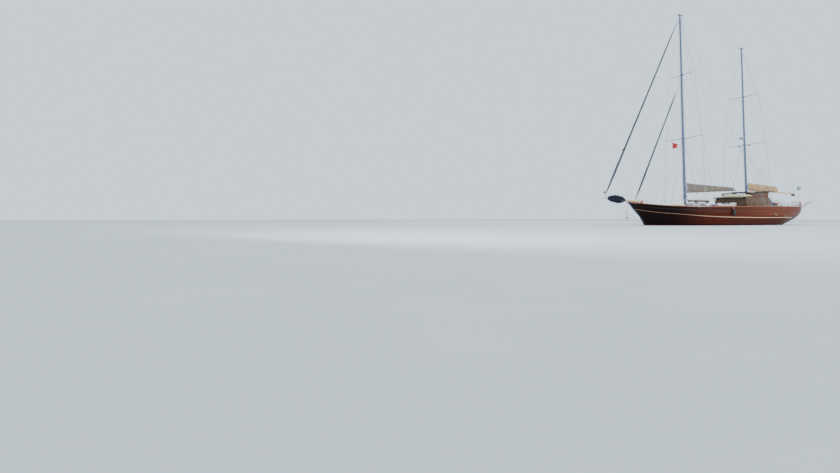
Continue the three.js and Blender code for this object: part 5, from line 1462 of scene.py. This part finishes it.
# Foredeck
deck = deck_z(9.85)
form = Form().slab((9.70, -0.15, deck + 0.012), (10.0, 0.15, deck + 0.26), 0.03)
form.slab((9.68, -0.16, deck + 0.002), (10.02, 0.16, deck + 0.016), 0.004)
form.slab((9.785, -0.135, deck + 0.22), (9.915, 0.135, deck + 0.46), 0.03)
for x in (9.70, 10.0):
    for y in (-0.14, 0.14):
        form.turned((x, y, deck + 0.012), UP, "0 0  12 0  12 12  0 14", 8)
for side in SIDES:
    form.turned((9.85, side * 0.13, deck + 0.33), (0, side, 0),
        "0 0  105 0  105 20  75 40  70 60  100 85  103 100  66 125  60 160  85 190  88 200  0 "
        "200", 28)
form.made("windlass_body", galvanised, "steel", "windlass")

hatch, low = deck_z(8.2) + 0.26, deck_z(7.9) - 0.004
rings = []
for grow, z in ((0.0, low), (0.0, hatch - 0.03), (-0.004, hatch), (-0.066, hatch),
                (-0.07, hatch - 0.004), (-0.07, low)):
    x0, x1, y = 7.85 - grow, 8.55 + grow, 0.35 + grow
    rings.append([(x0, -y, z), (x1, -y, z), (x1, y, z), (x0, y, z)])
Form().grid(np.stack(rings, 1)[:, ::-1], loop=True).made(
    "hatch_coaming_frame", trim_wood, "varnished_trim", "hatch_coaming", crease=30)
z0, z1 = hatch + 0.0004, hatch + 0.055
lid = Form().slabs(0.006, (7.82, -0.38, z0, 8.58, -0.29, z1), (7.82, 0.29, z0, 8.58, 0.38, z1),
                   (7.82, -0.38, z0, 7.92, 0.38, z1), (8.48, -0.38, z0, 8.58, 0.38, z1),
                   (8.17, -0.30, z0, 8.23, 0.30, z1), steps=2)
pane = Form().slabs(0.002, (7.91, -0.295, z0 + 0.02, 8.18, 0.295, z0 + 0.032),
                    (8.22, -0.295, z0 + 0.02, 8.49, 0.295, z0 + 0.032), steps=1)
bars = Form()
for y in (-0.2, -0.1, 0.0, 0.1, 0.2):
    bars.rod((7.90, y, z1 - 0.009), (8.50, y, z1 - 0.009), 0.006, 8, 2)
lid.made("hatch_lid_frame", trim_wood, "varnished_trim", "hatch_lid", "hatch_lid")
pane.made("hatch_lid_panes", glass, body="hatch_lid")
bars.made("hatch_lid_bars", bronze, "bronze", body="hatch_lid")

form = Form()
xs = np.array([11.2, 10.2, 9.2, 8.2, 7.2, 6.2])
top = xyz(xs, rail_y(xs) - 0.04, cap_z(xs) + 0.62)
for low_by, r in ((0, 0.015), (0.30, 0.008)):
    form.tube(curve(top - [0, 0, low_by], 40), r, 10)
for x, y, z in top:
    seat = max(cap_z(x - 0.016), cap_z(x + 0.016)) + 0.001
    tall = z - seat
    form.turned((x, y, seat), UP, [
        (0, 0), (0.042, 0), (0.042, 0.010), (0.020, 0.018), (0.017, 0.05), (0.015, tall),
        (0.019, tall + 0.004), (0.016, tall + 0.016), (0, tall + 0.018)], 14)
knee = (13.3, 0.33, 3.09)
form.tube(np.concatenate([line(top[0], knee, 10), line(knee, (15.0, 0.17, 3.2), 10)[1:], [
    (15.018, 0.14, 3.2), (15.02, 0.10, 3.2), (15.02, 0.0003, 3.2)]]), 0.016, 10)
form.rod((14.75, 0.195, 3.18), (14.75, 0.06, sprit_z(14.75) + 0.062), 0.013, 10, 4)
form.rod(knee, (13.3, 0.085, sprit_z(13.3) + 0.26), 0.011, 10)
form.mirror().made("bow_rails", white_paint, "white_metal", "bow_rail_port bow_rail_starboard")


def anchor():
    """An anchor hung from its roller arm: shank, curved arms with palms, ring and chain."""
    x, y = 12.40, 0.118
    arm = cap_z(11.94) + 0.012
    iron = Form().slabs(0.004, (11.85, 0.095, arm, 12.46, 0.107, arm + 0.045),
                        (11.85, 0.137, arm, 12.46, 0.149, arm + 0.045))
    iron.turned((12.42, 0.104, arm + 0.02), (0, 1, 0), "0 0  50 0  40 16  50 34  0 34", 20)
    iron.grid(swept(line((x, y, 0.70), (x, y, 1.57), 12), circle(10) * [1.0, 0.7],
                    np.linspace(0.040, 0.026, 12), up=(1, 0, 0)))
    t = np.linspace(-1, 1, 31)
    iron.tube(xyz(x + 0.24 * t, y, 0.70 + 0.13 * np.abs(t) ** 1.6), 0.036 * (1 - 0.5 * t ** 2), 10)
    v = np.linspace(-1, 1, 12)[:, None, None]
    half = 0.085 * (1 - np.abs(v) ** 2.2) ** 0.6 + 0.002
    wide, deep = np.array([[-1], [1], [1], [-1]]), np.array([[-1], [-1], [1], [1]])
    for side in SIDES:
        up = np.array((side * 0.75, 0, 0.66))
        iron.grid(np.array((x + side * 0.215, y, 0.82)) + up * 0.07 * v
                  + np.array((0, 1, 0)) * wide * half + np.cross(up, (0, 1, 0)) * deep * 0.007)
    ring = np.linspace(0, 2 * np.pi, 25)
    c, s = np.cos(ring), np.sin(ring)
    iron.grid(swept(xyz(x + 0.035 * c, y, 1.60 + 0.035 * s), circle(8) * 0.009, up=(0, 1, 0)))
    for k in range(max(int((arm + 0.02 - 1.63) / 0.034), 2)):
        z = 1.625 + 0.034 * k + 0.022 * s
        path, up = ((xyz(x + 0.012 * c, y, z), (0, 1, 0)) if k % 2
                    else (xyz(x, y + 0.012 * c, z), (1, 0, 0)))
        iron.grid(swept(path, circle(6) * 0.0055, up=up))
    iron.made("anchor_and_chain", galvanised, "anchor_iron", "anchor")


anchor()

# Fender, flag and radar
fender = np.array((1.5, rail_y(1.5) + 0.175, 0.95))
skin = "0 0  30 0  40 15  75 35  115 80  130 130  130 620  115 680  75 720  40 735  30 770  0 770"
Form().turned(fender, UP, skin, 36).made(
    "side_fender", black_rubber, "fender_rubber", "fender", crease=50)
made_fast = (1.5, rail_y(1.5) + 0.062, rail_z(1.5) + 0.04)
form = Form().rod(fender + [0, 0, 0.74], made_fast, 0.010, 8, 8)
form.turned(fender + [0, 0, 0.74], UP, "0 0  20 0  26 20  20 45  0 50", 12)
form.made("fender_lanyard", rope)


def flag():
    """A hung sheet: it flies aft from the hoist, gathers in growing waves and droops at the fly."""
    u, v = np.linspace(0, 1, 70)[:, None], np.linspace(0, 1, 40)[None]
    wave = 0.05 * u ** 0.7 * np.sin(8.0 * u + 5.0 * v) + 0.028 * u * np.sin(17 * u - 9 * v)
    points = xyz(4.806 - 0.70 * u - 0.03 * u * np.sin(3.0 * v), wave - 1.30,
                 8.895 - 0.13 * u ** 1.5 - v * (0.68 - 0.30 * u ** 1.3))
    piece = Form().grid(points, ring=False).cloth(
        "red_flag", red_cloth, "red_cloth", "signal_flag", crease=80, thick=0.0015)
    foot = np.array((8.15, 0.04 - rail_y(8.15), cap_z(8.15) + 0.002))
    corners = [(4.625, -1.30, 9.143), (4.81, -1.30, 8.96), (4.81, -1.30, 8.15), foot + [0, 0, 0.06]]
    halyard = Form()
    for a, b in zip(corners[:-1], corners[1:]):
        halyard.rod(a, b, 0.006)
    halyard.turned(foot, UP, "0 0  20 0  14 12  10 50  18 60  0 70", 12)
    halyard.made("flag_halyard", rope)


flag()
x = MIZZEN["x"] + mast_radius(MIZZEN, 9.55)
form = Form().slab((x + 0.002, -0.05, 9.48), (x + 0.26, 0.05, 9.50), 0.006)
form.slabs(0.004, (x + 0.002, -0.05, 9.48, x + 0.014, 0.05, 9.54),
           (x + 0.002, -0.012, 9.49, x + 0.26, 0.012, 9.54))
form.turned((x + 0.33, 0, 9.53), UP,
    "0 0  220 0  245 15  260 45  260 100  252 105  258 110  250 170  210 215  120 230  0 230", 40)
form.made("radar_dome", radar_grey, "white_metal", "radar", crease=50)


# Running rigging and deck fittings
def halyards(owner, rows):
    """Lines up the mast, each from a foot (x, y, z) to a block at its head (x, y, z)."""
    x, form = MASTS[owner]["x"], Form()
    for x0, y0, z0, x1, y1, z1 in rows:
        form.rod((x + x0, y0, z0), (x + x1, y1, z1), 0.007, 6)
        block = np.array((x + x1, y1, z1))
        form.slab(block - [0.02, 0.014, 0.05], block + [0.02, 0.014, 0.05], 0.008)
    form.made(f"{owner}_halyards", dark_rope)


halyards("main", [(0.13, 0.17, 2.6, 0.10, 0.12, 21.9), (0.13, -0.17, 2.6, 0.10, -0.12, 21.9),
                  (-0.16, 0.12, 2.7, -0.11, 0.08, 22.1), (0.02, -0.25, 2.5, 0.03, -0.16, 15.4),
                  (0.16, 0.05, 2.6, 0.125, 0.03, 15.2)])
halyards("mizzen", [(0.13, 0.15, 3.765, 0.09, 0.10, 19.2), (-0.14, -0.12, 3.75, -0.09, -0.08, 19.4),
                    (0.04, -0.2, 3.75, 0.03, -0.14, 13.9)])


def lazy_jacks(owner, top, feet):
    """Light lines from the mast to each side of the cover, made fast under the boom."""
    mast, form = MASTS[owner], Form()
    joint = (mast["x"] - 2.4, 0.26, boom_level(owner, 2.4) + 2.6)
    form.rod((mast["x"] - mast_radius(mast, top) - 0.03, 0.04, top), joint, 0.005, 6)
    for d in feet:
        x, level = mast["x"] - d, boom_level(owner, d)
        wide = np.interp(d, [0.9, 6.8], [0.25, 0.13])
        form.tube([joint, (x, wide, level + 0.3), (x, 0.09, level - 0.02)], 0.005, 6)
    form.mirror().made(f"{owner}_lazy_jacks", dark_rope, body=f"{owner}_boom")


lazy_jacks("main", 7.9, (1.6, 3.4, 5.6))
lazy_jacks("mizzen", 7.6, (1.4, 2.9, 4.6))
form, t = Form(), np.linspace(-1, 1, 12)
for x in (10.6, 6.0, -2.5, -6.3, -11.5):
    y, z = rail_y(x) - 0.045, cap_z(x) + 0.003
    for dx in (-0.045, 0.045):
        form.turned((x + dx, y, z), UP, "0 0  22 0  14 12  12 50  0 50", 12)
    form.tube(xyz(x + 0.15 * t, y, z + 0.055 + 0.012 * t ** 2), 0.012 * (1 - 0.45 * t ** 4), 10)
form.mirror().made("mooring_cleats", bronze, "bronze")
form = Form()
for x in (-5.9, -7.2):
    form.turned((x, rail_y(x) - 0.03, cap_z(x) + 0.004), UP,
        "0 0  85 0  85 20  70 35  55 60  52 110  66 140  70 150  50 160  30 175  0 176", 28)
form.mirror().made("sheet_winches", steel, "steel")
rims, panes = Form(), Form()
for x, z in ((-4.91, 1.13), (-6.54, 1.02)):
    porthole(rims, panes, lambda at: half_breadth(at, z), x, z, (0.13, 0.10), 0.09, -0.03, 0.005)
rims.mirror().made("hull_port_rims", bronze)
panes.mirror().made("hull_port_panes", glass)
coat = "150 0  215 0  210 30  175 100  168 300  150 340"
Form().turned((MAIN["x"], 0, 2.0008), UP, coat, 28).made("main_mast_coat", dark_trim_and_shade)
x = MIZZEN["x"]
form = Form().turned((x, 0.55, 8.86), (0.5, 0, -1),
    "0 0  30 0  45 30  75 90  80 130  70 135  0 125", 18)
form.slab((x - 0.012, 0.52, 8.84), (x + 0.012, 0.58, 8.90), 0.004)
form.mirror().made("deck_floodlights", black_rubber)
d = np.linspace(7.22, 7.74, 40)
wrap = 0.098 * np.sqrt(1 - np.linspace(-1, 1, 40) ** 8) + 0.006
wrap += 0.004 * np.sin(np.linspace(0, 26, 40))
roll = Form().tube(xyz(x - d, 0, boom_level("mizzen", d) - 0.182), wrap, 22)
roll.made("mizzen_boom_roll", navy_cloth, body="mizzen_boom")
form = Form()
for d in (7.32, 7.62):
    y, z = circle(20).T
    loop = xyz(x - d, y * 0.115, boom_level("mizzen", d) - 0.095 + z * 0.20)
    form.grid(swept(np.concatenate([loop, loop[:2]]), circle(8) * 0.006, up=(1, 0, 0)))
form.made("mizzen_roll_lashings", rope, body="mizzen_boom")
ball = np.linspace(0, np.pi, 20)
seam = 0.0015 * np.exp(-((ball - np.pi / 2) / 0.05) ** 2)
form = Form().turned((14.98, 0, 3.215), UP, np.column_stack([
    (0.095 + seam) * np.sin(ball), 0.095 - 0.095 * np.cos(ball)]), 28)
form.turned((14.98, 0, 3.40), UP, "0 0  14 0  10 20  16 30  0 34", 10)
form.made("pulpit_ball", black_rubber)

# Nodes that keep their own solid
for name, paint in {"deck": teak, "keel_shoe": antifoul, "deckhouse_walls": panel_wood,
                    "passerelle_bracket": steel}.items():
    for slot in nodes[name].material_slots:
        slot.material = paint

# Floor and light
ground = Finish("pale_floor", Roughness=0.9)
ground.feed("Base Color", ground.mix(ground.noise(0.6), "dfe2e3", "d6dadb"))
mesh = bpy.data.meshes.new("floor")
corners = [(-150, -150, 0), (150, -150, 0), (150, 150, 0), (-150, 150, 0)]
mesh.from_pydata(corners, [], [(0, 1, 2, 3)])
mesh.materials.append(ground.material)
floor = bpy.data.objects.new("floor", mesh)
link(floor)


def lamp(name, place, height, size, energy, colour=(1, 1, 1)):
    """A round soft lamp that looks at the given height above the origin."""
    data = bpy.data.lights.new(name, "AREA")
    data.shape, data.size, data.energy, data.color = "DISK", size, energy, colour
    made = bpy.data.objects.new(name, data)
    made.location = place
    made.rotation_mode = "QUATERNION"
    made.rotation_quaternion = (Vector((0, 0, height)) - Vector(place)).to_track_quat("-Z", "Y")
    link(made)


lamp("key", (-24, 52, 20), 5, 14, 17000, (1.0, 0.96, 0.90))
lamp("fill", (46, 24, 16), 5, 24, 5000, (0.92, 0.96, 1.0))
lamp("rim", (6, -45, 30), 6, 20, 4000)
world = bpy.data.worlds.new("sky")
world.use_nodes = True
background = world.node_tree.nodes["Background"]
background.inputs["Color"].default_value = (0.74, 0.86, 0.97, 1)
background.inputs["Strength"].default_value = 1.45
bpy.context.scene.world = world
